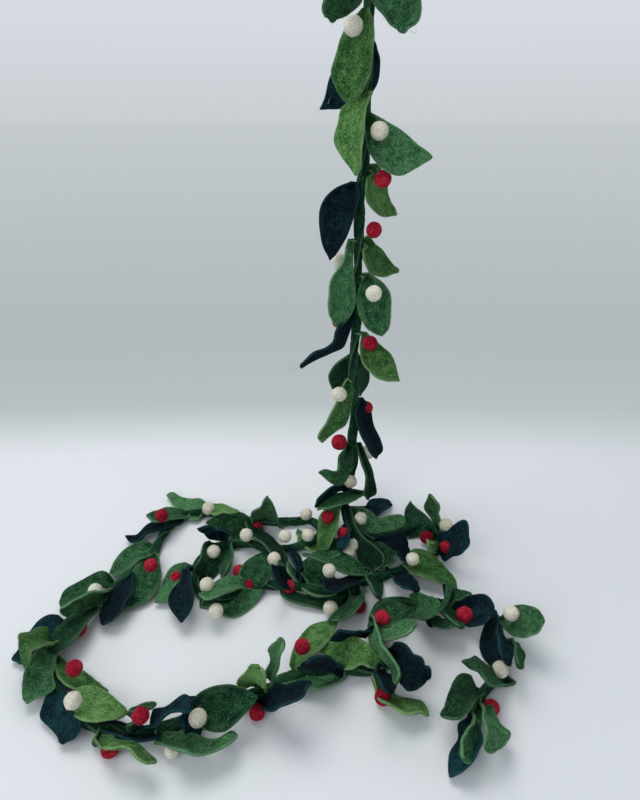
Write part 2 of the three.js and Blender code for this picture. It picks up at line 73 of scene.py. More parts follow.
# name, felt, mm along the cord, heading, rise and turn in degrees, long, wide, sway, bow in mm, cup, side
LEAVES = [
    ("h02", "mid", 5, -58.3, -46.9, -69.9, 57, 28, -4.8, 1.4, 0.2, 1),
    ("h01", "dark", 12, -123.5, -30.4, 109.1, 56.5, 28, 1.6, 1.1, 0.25, 1),
    ("h03", "light", 28, 147, -80.6, 100, 61.4, 28, 2.4, 4.9, 0.25, 1),
    ("h04", "navy", 48, 142.7, -46.4, 119.4, 56.9, 30.3, -7.6, 3, 0.2, -1),
    ("h05", "light", 78, -103.3, -70.1, -32.8, 58.2, 28, 4.9, 8.6, 0.35, 1),
    ("h06", "mid", 96, -33, -26.2, -66.8, 56, 28, 8.5, 2.6, 0.25, 1),
    ("h07", "light", 128, 50.5, -43.5, -80, 56.7, 28, 3.3, -1.3, 0.3, 1),
    ("h08", "navy", 141, -161.1, -68.2, 47.4, 58.6, 28, 6.8, 5.5, 0.25, 1),
    ("h10", "light", 183, 45.9, -33.9, -61.4, 56.3, 28, 3.5, -1.5, 0.3, 1),
    ("h12", "mid", 183, -136.1, -70.5, 81.2, 69.1, 28, 3.7, 1, 0.3, 1),
    ("h13", "mid", 209, -66.6, -41, -49, 56.4, 28, -3.1, 2, 0.25, 1),
    ("h14", "navy", 240, -134.6, -24.6, 101.5, 56.2, 17, -4.8, 9.5, 0.5, 1),
    ("h16", "light", 257, -51.3, -30.5, -12.3, 55.6, 28, 2.3, 1.5, 0.25, 1),
    ("h17", "dark", 277, 105.5, -63, -163.5, 57.7, 28, 2.1, 1.1, 0.3, -1),
    ("h18", "dark", 282, 67.7, -58.6, -87.8, 58.1, 28, -2.5, 8.1, 0.3, -1),
    ("h19", "light", 304, -133.5, -46.1, 95.1, 57.1, 28, -1.2, 4.9, 0.35, 1),
    ("h20", "navy", 320, -22.8, -64.2, -2.6, 61.7, 28, -1.8, 6, 0.35, -1),
    ("h22", "dark", 367, -106.6, -1.8, 70.3, 55.6, 18, 0.2, 1.8, 0.6, 1),
    ("h24", "dark", 367, -0.9, -78.7, -27.5, 59.5, 20, -2.8, 6.7, 0.6, 1),
    ("h27", "navy", 410, -134.2, -3.1, 117.7, 42, 25.5, 1.1, -1.9, 0.3, 1),
    ("h26", "mid", 413, -127.1, -0.3, -23, 41.4, 25.5, -2.4, -2.9, 0.3, 1),
    ("p02", "light", 429, -109.1, -19.6, -30.8, 53.1, 25.5, 2.9, 6.1, 0.3, 1),
    ("p09", "navy", 431, 25.1, -11.7, -1.1, 49.9, 25.5, 0.1, 2.8, 0.2, -1),
    ("p10", "dark", 431, -72.1, -14.1, -56.4, 76.3, 25.5, -0.4, 2.7, 0.3, 1),
    ("p08", "mid", 437, -0, -12.7, -36.7, 54.3, 25.5, 9.8, -0.4, 0.2, 1),
    ("p03", "navy", 448, -96.6, 4.2, -63.8, 42.8, 25.5, -0.6, 1.5, 0.3, 1),
    ("p05c", "mid", 460, 168.8, -4.6, -6.3, 51.6, 25.5, -6.1, -7.2, 0.3, 1),
    ("p05", "light", 462, 179.3, -4.2, -6.7, 51.3, 25.5, -4.1, -3.9, 0.4, 1),
    ("p13", "mid", 464, -138.1, -3.5, -19.6, 46.6, 25.5, -1.8, -1, 0.3, 1),
    ("p11", "navy", 477, -50.8, 9.8, -7, 42.5, 25.5, -3.6, 6.1, 0.3, 1),
    ("p12", "dark", 479, -69.2, 15, -8.5, 41.8, 25.5, 4.6, -0, 0.3, 1),
    ("r03", "mid", 543, -141.9, 74, -165.3, 45.6, 25.5, 0.1, 1.8, 0.5, 1),
    ("r02", "dark", 551, 106, -2.7, 34.8, 58.3, 28.8, -10.9, 3, 0.3, 1),
    ("r05", "navy", 565, -65.8, 36.1, -75.7, 46.2, 27.9, -1.7, 3, 0.25, 1),
    ("r06", "light", 569, -116.9, 39.8, 25.6, 42.7, 25.5, -1, -1, 0.3, 1),
    ("r01", "light", 608, -33.6, -3.5, -11, 41.9, 25.5, -6.2, 7.5, 0.25, 1),
    ("p22", "navy", 620, -73, 19.7, 21.4, 41.6, 25.5, 0.4, 2.2, 0.3, 1),
    ("p15", "dark", 638, 172.1, 12, -22.9, 60.9, 25.5, -0.5, 0.5, 0.4, 1),
    ("p21", "dark", 638, -93.4, 20.4, 58.9, 41.5, 25.5, 0.6, 1.6, 0.3, 1),
    ("p17", "navy", 648, -148, 19.5, -16.1, 44.1, 25.5, -1.6, -1.8, 0.3, 1),
    ("p15b", "dark", 648, 142.5, -2.7, -23.4, 51.6, 25.5, 2.1, 8.3, 0.3, 1),
    ("p20", "dark", 655, -123.3, -5.4, -40.3, 44.7, 25.5, -2.5, -2.8, 0.3, 1),
    ("p18", "dark", 662, -170.5, -4.5, -15.8, 55.1, 25.5, -5.6, -8, 0.3, 1),
    ("p16", "dark", 671, 127.3, -3.7, 1.3, 40.9, 25.5, -4.5, -0.3, 0.3, 1),
    ("p18b", "mid", 671, 146.6, -2.7, -31.6, 50.5, 25.5, -2.9, -8.8, 0.3, 1),
    ("p19b", "navy", 700, 108.9, -2, -55.8, 44, 25.5, 0.6, 5.3, 0.3, 1),
    ("p19", "navy", 708, -123.3, 55.3, 40.4, 41.3, 25.5, -0.7, 0.6, 0.3, 1),
    ("l11", "dark", 741, 72, -4.3, -13.5, 41.5, 25.5, -0.4, 3.1, 0.3, 1),
    ("l12", "mid", 743, -144, 15.1, -12.3, 44.5, 25.5, 0.9, 4.7, 0.4, 1),
    ("l13", "mid", 782, 1.9, -5, -19.4, 43.8, 25.5, 9.1, -1.8, 0.3, 1),
    ("l14", "dark", 808, 89.4, -3, -55, 43.5, 25.5, 4.3, 6.2, 0.3, 1),
    ("l17", "navy", 813, -87, -4.5, -29.5, 57.7, 25.5, 3.2, 5.9, 0.25, 1),
    ("l16", "mid", 817, -118.1, -4.8, -7.6, 46.4, 25.5, 0.6, 3.6, 0.3, 1),
    ("l06", "navy", 853, -118.8, 48.5, 163.6, 42.1, 25.5, 0.3, 1.3, 0.3, -1),
    ("l15", "dark", 855, -88.5, 5.9, -55.9, 41.4, 25.5, 0.1, 3.3, 0.4, -1),
    ("l07", "mid", 1011, -81.3, 63.9, -175.5, 45.7, 26.9, -0.4, 3, 0.3, 1),
    ("l05", "mid", 1025, 178.2, -3.4, 50.4, 43.2, 25.5, -2.6, 2.8, 0.25, 1),
    ("l08", "dark", 1031, -56.7, -3.4, 19.8, 77.9, 16, -1.6, 4.8, 0.3, 1),
    ("l01", "mid", 1073, 145.6, -4, 4.8, 55.2, 25.5, -4.8, -1.3, 0.35, 1),
    ("l04", "light", 1073, -33.3, 18.7, 8.5, 43.5, 25.5, -0.5, 3.2, 0.3, 1),
    ("l02", "mid", 1091, -135.5, 21.3, -0.4, 43.5, 25.5, -0.7, 1.7, 0.35, 1),
    ("l03", "navy", 1097, -140.4, -5.5, 1.1, 54.2, 13, -0.7, 1.2, 0.5, 1),
    ("b01", "mid", 1144, -125.9, -4.4, -7.7, 45.2, 25.5, 0.9, 4.2, 0.25, 1),
    ("b03", "mid", 1155, -95.8, -5.4, 0.4, 63.8, 25.5, -5.1, 0.5, 0.3, 1),
    ("b04", "navy", 1181, -98.2, -5.2, -27.4, 56.7, 25.5, -0.6, 2, 0.3, 1),
    ("b05", "dark", 1199, -148.3, -4.7, -14.2, 42.1, 25.5, 2.4, 8.1, 0.4, 1),
    ("b06", "mid", 1206, -126.7, 17.8, 99, 45.4, 16, -0.2, 2.2, 0.5, 1),
    ("b07", "dark", 1222, -103.8, -5.7, -19.7, 48.2, 25.5, 0.8, 4.1, 0.3, 1),
    ("b08", "navy", 1245, -124.7, 5.6, -2.8, 42.6, 25.5, 2.5, 6, 0.3, -1),
    ("b09", "light", 1258, -96.3, 30.1, -0.4, 43.3, 25.5, 1.8, 6, 0.4, 1),
    ("b10", "mid", 1270, -86.4, -6.3, -3, 44.1, 25.5, -1.8, 2.1, 0.2, 1),
    ("b11", "light", 1275, -35.5, -2.3, 40.7, 54.8, 25.5, 3, -2.8, 0.3, 1),
    ("b12", "navy", 1302, -59.1, -4.6, -33.2, 47.5, 25.5, -1, 2.3, 0.25, 1),
    ("b11b", "light", 1321, -19.1, 2, 13.2, 44.2, 25.5, 0.1, 2.9, 0.25, 1),
    ("b18", "navy", 1349, -9.3, -4.4, 23.7, 48.6, 16, 2.2, -1.3, 0.3, 1),
    ("b17", "light", 1356, -33, -5.5, 52.5, 45.6, 25.5, 0.5, 1.2, 0.4, 1),
    ("b13", "dark", 1375, -23.4, 56, -12.4, 41.7, 25.5, -0.8, 4.4, 0.4, 1),
    ("b14", "navy", 1386, -7.6, 40.7, 14.8, 42.6, 25.5, -0.9, 5.3, 0.3, 1),
    ("b16", "mid", 1391, -2.9, -5.9, 30.2, 50.4, 25.5, 3.3, -4.2, 0.3, 1),
    ("b15", "dark", 1413, 4.1, 20.3, -41.4, 43.3, 26.1, -0.4, 3, 0.25, 1),
    ("b14c", "navy", 1419, -103.1, 50.2, 137, 42, 25.5, -1.2, 5.5, 0.3, 1),
    ("r14", "navy", 1455, -17.7, 29, 15.7, 42.7, 25.5, 2.1, -1.1, 0.3, 1),
    ("r15b", "light", 1459, -97.9, 70.9, -158.3, 41.4, 25.5, -3.2, 6.7, 0.3, 1),
    ("r15", "mid", 1466, -36.7, 78.5, -49.6, 45.1, 25.5, -0.3, 3.9, 0.5, 1),
    ("r12", "light", 1485, 54.6, -3.4, 18.6, 53.4, 25.5, -2.7, 6, 0.25, 1),
    ("r13", "mid", 1518, -170.9, -6.1, -21.6, 48.3, 25.5, -2, -0.8, 0.3, 1),
    ("r13b", "navy", 1520, -148.9, 38.4, 123.2, 42.4, 25.5, 1.1, 0.3, 0.3, 1),
    ("r17", "light", 1538, -44.2, -3.4, 33.8, 43.7, 25.5, 1.7, -1.2, 0.4, 1),
    ("r16c", "navy", 1545, -90.4, 28, 50.8, 41.7, 25.5, 0.5, 1.9, 0.3, 1),
    ("r11", "light", 1547, 165.6, -4.7, 10, 41.9, 25.5, 0.2, 3.1, 0.25, 1),
    ("r16b", "navy", 1550, -53.9, 28.8, -91.3, 41.4, 25.5, 3, 5.8, 0.3, 1),
    ("r16a", "navy", 1555, -63, 22.6, -74.2, 44.2, 25.5, 1, 3.7, 0.3, 1),
    ("r12b", "navy", 1579, -139.9, 22.8, 122.6, 41.4, 25.5, -0.2, 3, 0.3, -1),
    ("r09", "mid", 1582, -48.4, 34.9, 8.7, 42.6, 25.5, 2.3, -2.6, 0.5, 1),
    ("r07", "mid", 1589, 33.2, -5.6, -3.4, 40.6, 25.5, -0.5, 3.4, 0.25, 1),
    ("r10", "mid", 1590, -81.6, 3.7, -88.4, 60, 25.5, 1.4, 6.2, 0.6, 1),
    ("r08", "dark", 1621, -58.6, 40.6, -26.4, 41.6, 25.5, 0.8, 2.2, 0.3, 1),
    ("r08c", "dark", 1639, -76.2, 24.7, 27.9, 41.5, 25.5, 1.5, -1.8, 0.3, 1),
    ("s02", "dark", 1645, -79.8, 21.7, 36.4, 41.5, 25.5, 1.2, -2.3, 0.3, 1),
    ("s01b", "dark", 1649, -64.8, 47.5, -16.4, 41.6, 25.5, -0.6, 4.5, 0.3, 1),
    ("r08b", "dark", 1653, -123.1, 31.8, 127.3, 42, 25.5, 0.9, -3, 0.3, 1),
    ("s01", "navy", 1653, -47.9, 28.2, -29.8, 42, 25.5, 2.4, 1.8, 0.3, 1),
    ("s04", "navy", 1688, -99.3, -1.7, -62.6, 45.4, 25.5, -0.3, 2.6, 0.3, 1),
    ("s03", "mid", 1695, -53.7, 32.6, -29, 43, 25.5, 0.7, 2.6, 0.2, 1),
    ("s04b", "navy", 1707, -103.8, 17, 55.3, 44.8, 25.5, -0.2, 3.4, 0.3, 1),
    ("s05", "dark", 1717, -94.5, 25.3, 44, 43.9, 25.5, -0.7, 5.1, 0.4, 1),
    ("s06", "dark", 1742, -142.9, 35.5, -14.4, 42.7, 25.5, -1.9, -2, 0.4, 1),
    ("s07", "dark", 1765, -138, 12.5, -16.8, 44.5, 25.5, 1.6, 4.5, 0.25, 1),
    ("s09", "mid", 1770, -103.7, 10.1, 43.9, 43.9, 25.5, -3.4, 7.3, 0.4, 1),
    ("s10", "mid", 1775, -115.7, 5, 71.8, 45.2, 25.5, 0.6, 1.4, 0.5, 1),
    ("s11", "navy", 1782, -114.8, -4, -53, 48.1, 25.5, -2.7, -1.2, 0.25, 1),
]

# the two edges of each cut leaf, base to tip: mm along it, across it and off its face, from its base
EDGES = {
    "h01": (
        [(6.8, -0.6, -0.4), (8.6, -7.1, -0.4), (13.6, -9, 0.7), (28.9, -7.6, 1), (43.8, -3.9, 0.6), (56.5, -0, 0)],
        [(15.9, 6.4, -6.4), (48.1, 15.3, -1.4), (62.2, 13.8, -0.7), (64.9, 9.5, -0.5), (62.8, 4.6, -0.2), (56.5, -0, 0)],
    ),
    "h02": (
        [(3.7, -5, -1.5), (25.1, -16.5, 0.8), (43.1, -19, 1.3), (52.9, -16.3, 1.2), (59.3, -10.3, 0.9), (57, 0, 0)],
        [(3.4, 2.3, 0.5), (14, 6.8, 0.7), (24.1, 8.9, 1.4), (37.1, 6.9, 1.2), (47.6, 4.7, 0.9), (57, 0, 0)],
    ),
    "h03": (
        [(0.1, -2.1, -0.7), (7.7, -8.6, 3.4), (16.8, -12.7, 8.2), (29.6, -14.1, 9.3), (39.2, -13.7, 9.2), (51, -9.3, 7.4), (61.1, -1.7, 4.7)],
        [(1.7, 1.5, 0.5), (9.6, 7.1, 5.2), (18.5, 10.9, 8.5), (31.9, 12.8, 9.3), (41.9, 14.3, 9.3), (52.4, 8.6, 7.6), (61.1, -1.7, 4.7)],
    ),
    "h04": (
        [(-5.6, -5.7, -0), (3.5, -16.6, -0.1), (15.2, -23, -0.1), (27.8, -22.6, -0), (45, -13.3, -1), (58.5, -0.2, -3)],
        [(-2.1, -1.3, -0), (10, 3.9, -0.1), (22.6, 7.4, -0.1), (32.8, 7.4, -0.1), (47, 2.5, -1.4), (57.9, 0.2, -3)],
    ),
    "h05": (
        [(1, -3.8, -3.4), (13, -8.4, 3.6), (25.3, -12.8, 10.3), (39, -14.3, 11.2), (49.8, -12.2, 8.4), (56.5, -8.2, 5.1), (59.6, -3.4, 3.6)],
        [(0.3, -2.6, -2.6), (6.8, 4.6, 5.5), (12.5, 10.4, 10.1), (23.5, 11.2, 11), (34.9, 13.5, 11.4), (45.4, 8, 8.7), (53.8, 1.4, 5.4), (59.6, -3.4, 3.6)],
    ),
    "h06": (
        [(-3.8, -3.5, 0.5), (10.7, -4.3, 1.8), (26.6, -4.9, 2.5), (42.6, -2.3, 1.9), (51.2, -2, 0.9), (55.4, -0.8, 0)],
        [(-0.6, 3.9, -0.6), (10.3, 16.3, 1.7), (21.1, 21.7, 2.3), (33.5, 23.5, 2.5), (44.3, 21.2, 2.1), (50.7, 11, 1.6), (56.6, 0.8, 0)],
    ),
    "h07": (
        [(6.5, -4.1, 4.5), (24.4, -8.2, 1.7), (35, -5.6, -1), (44.5, -3.5, -1.6), (51.5, -2, -0.3), (55.7, 0.8, 0.6)],
        [(1, 0.1, 0.6), (1.2, 12.8, 0.2), (12.2, 18.3, -2.2), (26.4, 18.2, -3.4), (42.5, 12.6, -2.3), (55.7, 0.8, 0.6)],
    ),
    "h08": (
        [(-1.2, 1, 0.5), (7.1, -5, 3), (20.1, -8, 6), (33.1, -8.2, 5.7), (44.6, -6.4, 4.1), (54.2, -3.4, 2), (58.6, -0.3, 0.9)],
        [(-0.5, 4.6, 1.6), (6.4, 12.7, 4.3), (16.3, 18.5, 5.8), (28.3, 19.6, 6.3), (39.2, 15.5, 5.4), (50.7, 8.2, 3.3), (58.6, -0.3, 0.9)],
    ),
    "h10": (
        [(6.9, -2.6, 2.8), (27.1, -6.5, 0.6), (41.7, -5.2, -1.9), (48.9, -2.7, -1.2), (55.9, -0.6, 0.7)],
        [(-1.5, 0, 0.4), (-1.9, 12.5, -0.6), (6.4, 17.6, -2.1), (18.3, 19.5, -3.7), (35, 14.7, -2.9), (54.2, 2.1, 0.5)],
    ),
    "h12": (
        [(-0.8, 3.6, -3.3), (15.7, 2.8, 1), (28.8, -1.3, 2.8), (41.2, -6.5, 4), (53.1, -7.1, 4.4), (62, -3, 3.9), (68.8, 2.6, 3.1)],
        [(0.2, 6.8, -5.3), (13, 10.9, -0.3), (24.6, 16.5, 2.6), (34.7, 20.7, 3.1), (46.9, 20.6, 4.1), (58.6, 15.7, 3.9), (68.8, 2.6, 3.1)],
    ),
    "h13": (
        [(3.6, -8.5, -2.7), (17.7, -16.7, 0.5), (32.8, -18.8, 2.4), (45.6, -14, 3), (55.5, -6.8, 1.9), (56.9, -0.3, 0.9)],
        [(0.5, -4.5, -1.6), (10.3, 2.9, 0.6), (21.9, 8.3, 2.3), (34.3, 9.9, 3.1), (47.4, 7.8, 2.7), (56.9, -0.3, 0.9)],
    ),
    "h14": (
        [(-3.8, 0.2, -1), (8.5, -4, 1.8), (19.2, -9.1, 5.4), (28.9, -10.3, 8.8), (41.9, -5.6, 6.7), (55, -3.1, 2.6), (70.5, -0.7, -0.2)],
        [(1.6, 3.3, -3.7), (19.8, 7.6, 2.1), (32.2, 9.2, 6.2), (39.2, 6, 9.5), (45.4, 4, 8.2), (56.5, 6.9, 3.7), (70.9, 3.3, 0)],
    ),
    "h16": (
        [(4.5, -3.1, 2), (17.2, -6.2, 2.7), (28.9, -9, 2.7), (40.9, -6.3, 2.3), (49.9, -2.6, 2.2), (56.4, 1.1, 1.7)],
        [(0.8, -1.8, 1.2), (18.1, 12.8, 2.8), (31.9, 18.6, 2.7), (43.4, 16.8, 2.3), (50.9, 10.3, 2.2), (56.4, 1.1, 1.7)],
    ),
    "h17": (
        [(3.6, -5.2, 4.3), (25.5, -10.1, 0.3), (44.6, -11.6, -1.2), (57.8, -8.7, -1.4), (60.1, -1.3, -1.5)],
        [(1.8, -2.1, 2.2), (5.8, 9.6, 0.7), (14.8, 16.2, -1.1), (31.5, 16.3, -1.7), (48.8, 9.4, -1.5), (60.1, -1.3, -1.5)],
    ),
    "h18": (
        [(8.2, -4.6, 8.1), (37, -13.5, 8.2), (52.2, -10.6, 5.9), (60.9, -1.8, -0.9)],
        [(2.3, -1.6, 4.4), (12.2, 8.3, 4.6), (34, 5.7, 2.3), (60.9, -1.8, -0.9)],
    ),
    "h19": (
        [(-3.2, -0.7, -0.5), (9.2, -7.1, 1.5), (22.7, -10.2, 4.7), (33.3, -10.6, 5.3), (41.9, -6.4, 2.7), (49.4, -3.9, 0.9), (57.3, 1.7, 1.1)],
        [(-0.6, 4.8, -6.1), (18.7, 14.6, 1.8), (31.9, 15.9, 4), (41.8, 14, 3.7), (50.9, 12.5, 0.9), (55.8, 9.5, 0.2), (57.3, 1.7, 1.1)],
    ),
    "h20": (
        [(5.7, -6.4, 9.8), (19.5, -10.5, 9.2), (33.1, -7.8, 7.4), (47.7, -8.1, 7.2), (57.6, -7.5, 6.2), (60.2, 3.4, 2.1)],
        [(2.8, -3.7, 7.1), (11.1, 12.8, 7.5), (24.8, 16.3, 5.8), (39.5, 14.8, 5.7), (52.4, 10.5, 3.3), (60.2, 3.4, 2.1)],
    ),
    "h22": (
        [(-1.5, -0.5, -0.5), (19.4, -6.9, -0.2), (37.4, -8.2, 1.3), (56.6, -3.3, -0.9), (57.8, 3.5, -7.2), (55.6, 11.1, -13.5)],
        [(0.4, 5.8, -5.8), (35.9, 11.4, 0.2), (50.2, 8.3, 0.4), (53.4, 9.6, -1.8), (52.3, 11.9, -7.7), (55, 11.7, -13.4)],
    ),
    "h24": (
        [(-1.2, -2.8, 3.7), (16.5, -4, 5.9), (32.4, -5.2, 7.7), (47.8, -8.1, 7.9), (57, -7.6, 5.5), (57.4, 2.6, 1.5)],
        [(-2.8, 0.4, 0.3), (9.4, 7.4, 5.4), (23.9, 8, 7), (36, 9.7, 6.5), (44.9, 10.4, 3.2), (57.4, 2.6, 1.5)],
    ),
    "h26": (
        [(-15.8, -7.7, -14.1), (9.1, -16, -7.8), (27.3, -17.2, -3.4), (37.7, -13.3, -0.9), (42.7, -9.7, 0.7), (44.8, -3.6, 1.8)],
        [(-19.8, -4.1, -9.7), (-6, -0.8, -5.9), (7.4, 2, -1.3), (23.4, 1, 0.7), (36.1, -0.1, 2.2), (44.8, -3.6, 1.8)],
    ),
    "h27": (
        [(-3.2, -2.3, 4.5), (7.4, -4.2, -0.9), (19.6, -4.4, -2.2), (31.5, -4.5, -0.9), (42.3, 0, 0.4)],
        [(-3.5, 1.2, -0.5), (15.6, 10.5, -2.4), (29.3, 12.6, -4.3), (41.1, 10.8, -3.1), (42.9, 1.9, 0.2)],
    ),
    "p02": (
        [(0.5, -1.1, 0.1), (24.1, -12.8, 9.1), (37.6, -15.7, 9.2), (48.7, -14.1, 7.5), (55, -10.6, 5.5), (56.3, -4.4, 4.1)],
        [(4, 7.3, 6.6), (15.5, 10.8, 8.7), (29.8, 9.1, 9.6), (44.1, 5.8, 7.8), (53.6, 1.3, 5.5), (56.3, -4.4, 4.1)],
    ),
    "p03": (
        [(-2.2, -3.1, -6.5), (33.6, -12.8, -2.2), (49.5, -11.4, -0.4), (45.6, -1.9, 0.7)],
        [(-6, 0.1, -1.7), (13.2, 2.5, 1.5), (30.1, 3.7, 3.2), (45.6, -1.9, 0.7)],
    ),
    "p05": (
        [(6.5, -11.9, -8), (17, -19.4, -5.6), (30.8, -20.5, -4.1), (43.2, -15.5, -2.5), (51.2, -8, 1.3)],
        [(8, -3.7, -6.9), (16.8, 3.6, -4.7), (29.4, 2.5, -3.3), (42, 1.3, -1.8), (50.9, 3, 1.8)],
    ),
    "p08": (
        [(-0.2, -3, 0.8), (8.7, -5.1, 2.6), (19.4, -3.2, 2.8), (27.7, 1.8, 2.3), (37.6, -2.6, 3.5), (49, -4.7, 3.7), (53.5, 0, 2.8)],
        [(2.9, 3.6, -1), (9.1, 14.7, 1.9), (18.1, 22.6, 2.6), (29.6, 22.2, 5.3), (40.8, 14.1, 3.7), (49.9, 8.6, 3.6), (53.6, 2, 2.8)],
    ),
    "p09": (
        [(20.4, -0.8, 0.4), (30.5, -10.5, 0.2), (41.2, -9.4, 1.2), (50.3, -6.7, 1), (51.1, -1.7, -0.5)],
        [(23.9, 2.3, -2.5), (22.9, 14.3, -0.1), (33.6, 11, 1.2), (42.1, 6.6, 1), (50.1, -0, -0.5)],
    ),
    "p10": (
        [(6.6, -3.2, -1.9), (33.6, -6.9, 6.4), (50.2, -10.3, 7.7), (63.4, -16.3, 6.4), (76.5, -18.9, 5.1), (82, -14.2, 5), (79.9, -3.5, 4.9)],
        [(3.4, 1.2, 0.5), (24.1, 1.5, 6), (40.7, 1.3, 7.6), (53.3, 4.3, 6.3), (67.4, 5, 5.4), (79.9, -3.5, 4.9)],
    ),
    "p11": (
        [(-0.1, 1.6, -1.6), (8.1, -3.7, 1.8), (14.7, -10.4, 4.7), (20.6, -14.7, 5.6), (29.4, -12.4, 3.2), (40.7, -2, -0)],
        [(4.2, 3.6, -2.9), (20.4, 6, 2.4), (32.8, 8.3, 5.1), (42, 10.7, 4.5), (47.1, 11.9, 1.5), (44.3, 2, -0)],
    ),
    "p12": (
        [(-1.4, 5.7, -3.8), (18.3, 3.8, 2.6), (34.5, 2, 3.8), (44.1, 0.8, 1.8)],
        [(33.1, 13.8, -8.9), (47.7, 14.3, -3.9), (50.8, 9.4, 0.1), (45, 1.3, 1.5)],
    ),
    "p15": (
        [(-0.6, -1.3, -1.3), (14.4, -13.8, -2.6), (24.6, -16.9, -1.7), (33.4, -13.2, 0.5), (47, -10.5, 1.1), (60.7, -6.7, 1.3)],
        [(5.4, 1.9, 2.9), (18, 1.6, -1.2), (32.3, 1, 1.3), (45.9, -1.6, 1.9), (61.1, -2.8, 1.7)],
    ),
    "p16": (
        [(-2.4, -7.1, -4.7), (3.4, -16.5, -1.1), (13.5, -19, -0.1), (25.9, -16, 0.6), (38.4, -7, 0.9), (40, -0.6, 0.8)],
        [(-6, -1.5, -1.5), (3.3, 1.8, -1.1), (15.5, 5.2, -0.2), (29.2, 5.3, 0.9), (40, -0.6, 0.8)],
    ),
    "p17": (
        [(1.8, -2.4, -3.8), (24.6, -11.8, -1.7), (33.6, -13.6, -3.3), (43.4, -13.8, -3.8), (49.2, -11.2, -2.6), (46.6, -3.3, 0.5)],
        [(1.6, 1.5, 1.5), (12, 4.1, 0.7), (22.8, 3.1, -1.3), (34.6, 3.5, -0.4), (44.6, -0.4, 1)],
    ),
    "p18": (
        [(0.5, -14.6, -12.1), (12.8, -21.8, -10.9), (25.2, -21.2, -9.6), (36.9, -17.9, -6.5), (48.4, -11.9, -2.4), (55.4, -4.8, 0.4)],
        [(-0.7, -2.3, -8.2), (11.8, -3.3, -7.9), (25.8, -4.6, -7.2), (39.4, 0.5, -4.6), (48.5, 5.1, -2.5), (54.8, 4.9, -0.3)],
    ),
    "p18b": (
        [(-5.8, -3.3, -9), (4.2, -17.9, -11.2), (17.3, -18.9, -10.2), (29.2, -17.1, -7.2), (41.4, -11.9, -1.8), (46.6, -7.2, 1.3)],
        [(-3.1, -0.5, -5.4), (8.6, -4.9, -9.2), (20.6, -4.8, -8.5), (32.1, -3.8, -5.9), (42.4, -2.9, -1), (47.5, -4.5, 1.7)],
    ),
    "p19": (
        [(-6.2, -2.5, -3.6), (24.7, -11.3, -3.1), (41.4, -10.9, -1.9), (44.1, -4, -1), (39.5, 0.9, -0.5)],
        [(-7.5, 1.1, 0.9), (2.3, 9, 0.2), (18.7, 7.9, 1.1), (39.5, 0.9, -0.5)],
    ),
    "p19b": (
        [(10.7, 1.5, 3.4), (22.7, 2.1, 5.5), (36, 2, 5.1), (43, -1.3, 1.1)],
        [(3.1, -0.6, -0), (5.4, -11.6, 2.4), (21, -10.1, 1.8), (37.8, -4.5, 0.5)],
    ),
    "p20": (
        [(3, -3.8, -6.2), (26.4, -22.2, -2.7), (38.9, -23.8, -1.5), (47.8, -19.1, 0.6), (51.4, -9.8, 3.5)],
        [(9, 1, -0.2), (23.5, -2.8, -0.6), (37.3, -4, 1.4), (49.1, -6.7, 3.7)],
    ),
    "p21": (
        [(-13.4, -2.2, 1.5), (-3, -7.1, 1.1), (25.8, -3.1, 0.8), (42.6, 0.1, 0)],
        [(-13, 5, -7.8), (41.5, 12.5, -1.4), (46.2, 5.6, -0.4), (40.4, -0.1, 0)],
    ),
    "p22": (
        [(-12, -3.5, 4.1), (0.6, -7.9, 1.5), (18, -7, 1.8), (30.9, -4.4, 1.4), (41.5, -0.4, 0.1)],
        [(-7.6, 3.5, -4.3), (28.4, 13.1, -0.8), (41.5, 12.3, -0.4), (44.6, 7.1, 0.1), (41.6, 0.4, -0)],
    ),
    "r01": (
        [(-8.5, -6.1, 4), (-3.6, -14.5, 7.3), (7.8, -17.5, 8.7), (18.4, -14.3, 8.6), (29.5, -9.5, 7), (38.5, -5.1, 5.2), (42.1, 0.7, 1.6)],
        [(-5.8, -0.8, 1), (6.2, 8.7, 6.4), (15, 8.7, 8.6), (23, 7, 8.3), (30.9, 5.3, 6.8), (35.5, 1.9, 6), (42.5, 1.6, 1.6)],
    ),
    "r02": (
        [(-3.9, -5, -0), (7.8, -14.2, 4.6), (9.6, -23.1, 9.2), (17.9, -24.8, 10.9), (35.7, -16.5, 6.1), (48.7, -7.3, 4.2), (54.6, 0, 3)],
        [(-1.1, 1.2, 0), (5.7, 2.9, 4), (17.7, 3.8, 6), (35.6, 1.2, 5.3), (54.6, 0, 3)],
    ),
    "r03": (
        [(-3.6, -1.5, 1.3), (12.4, -4, 0.7), (22.3, -9, 2.6), (35.1, -5.4, 2), (46.7, 0.9, 0.4)],
        [(-2.9, 2.7, -3.6), (27.3, 10.5, 0), (42.3, 13, 0.8), (46.6, 7.9, 0.9), (46.7, 0.9, 0.4)],
    ),
    "r05": (
        [(-6, -0.3, -0), (-0.4, -7.2, 1.8), (19.5, -10.1, 3.6), (33.3, -14.7, 4), (46.8, -17.4, 3.8), (48.8, -9.5, 2.8), (47.8, -0.8, 1)],
        [(-5.6, 6.6, 0.7), (9.9, 15.6, 3.4), (24.1, 12, 4), (36.1, 10.2, 3.7), (43.8, 5.4, 2.6), (47.6, 0.7, 1)],
    ),
    "r06": (
        [(-10.5, -0.5, -2), (13.8, 0.6, 0.4), (42.7, 0, 0)],
        [(-4.9, -2.9, -6.1), (50.1, -6.4, -5.4), (57.5, -3.6, -2.4), (42.7, 0, 0)],
    ),
    "r07": (
        [(-6.9, -3.3, 2), (3.2, -10.6, 3.2), (13.7, -11.6, 3.9), (26.1, -8, 2.8), (34.2, -2.7, 1.9), (40.3, 0.2, 0.8)],
        [(-6.7, 2.1, -1.1), (-3, 10.6, 3.1), (5.8, 13.7, 3.8), (18.7, 12.5, 2.8), (29, 6.7, 2.1), (39.5, 1, 0.8)],
    ),
    "r08": (
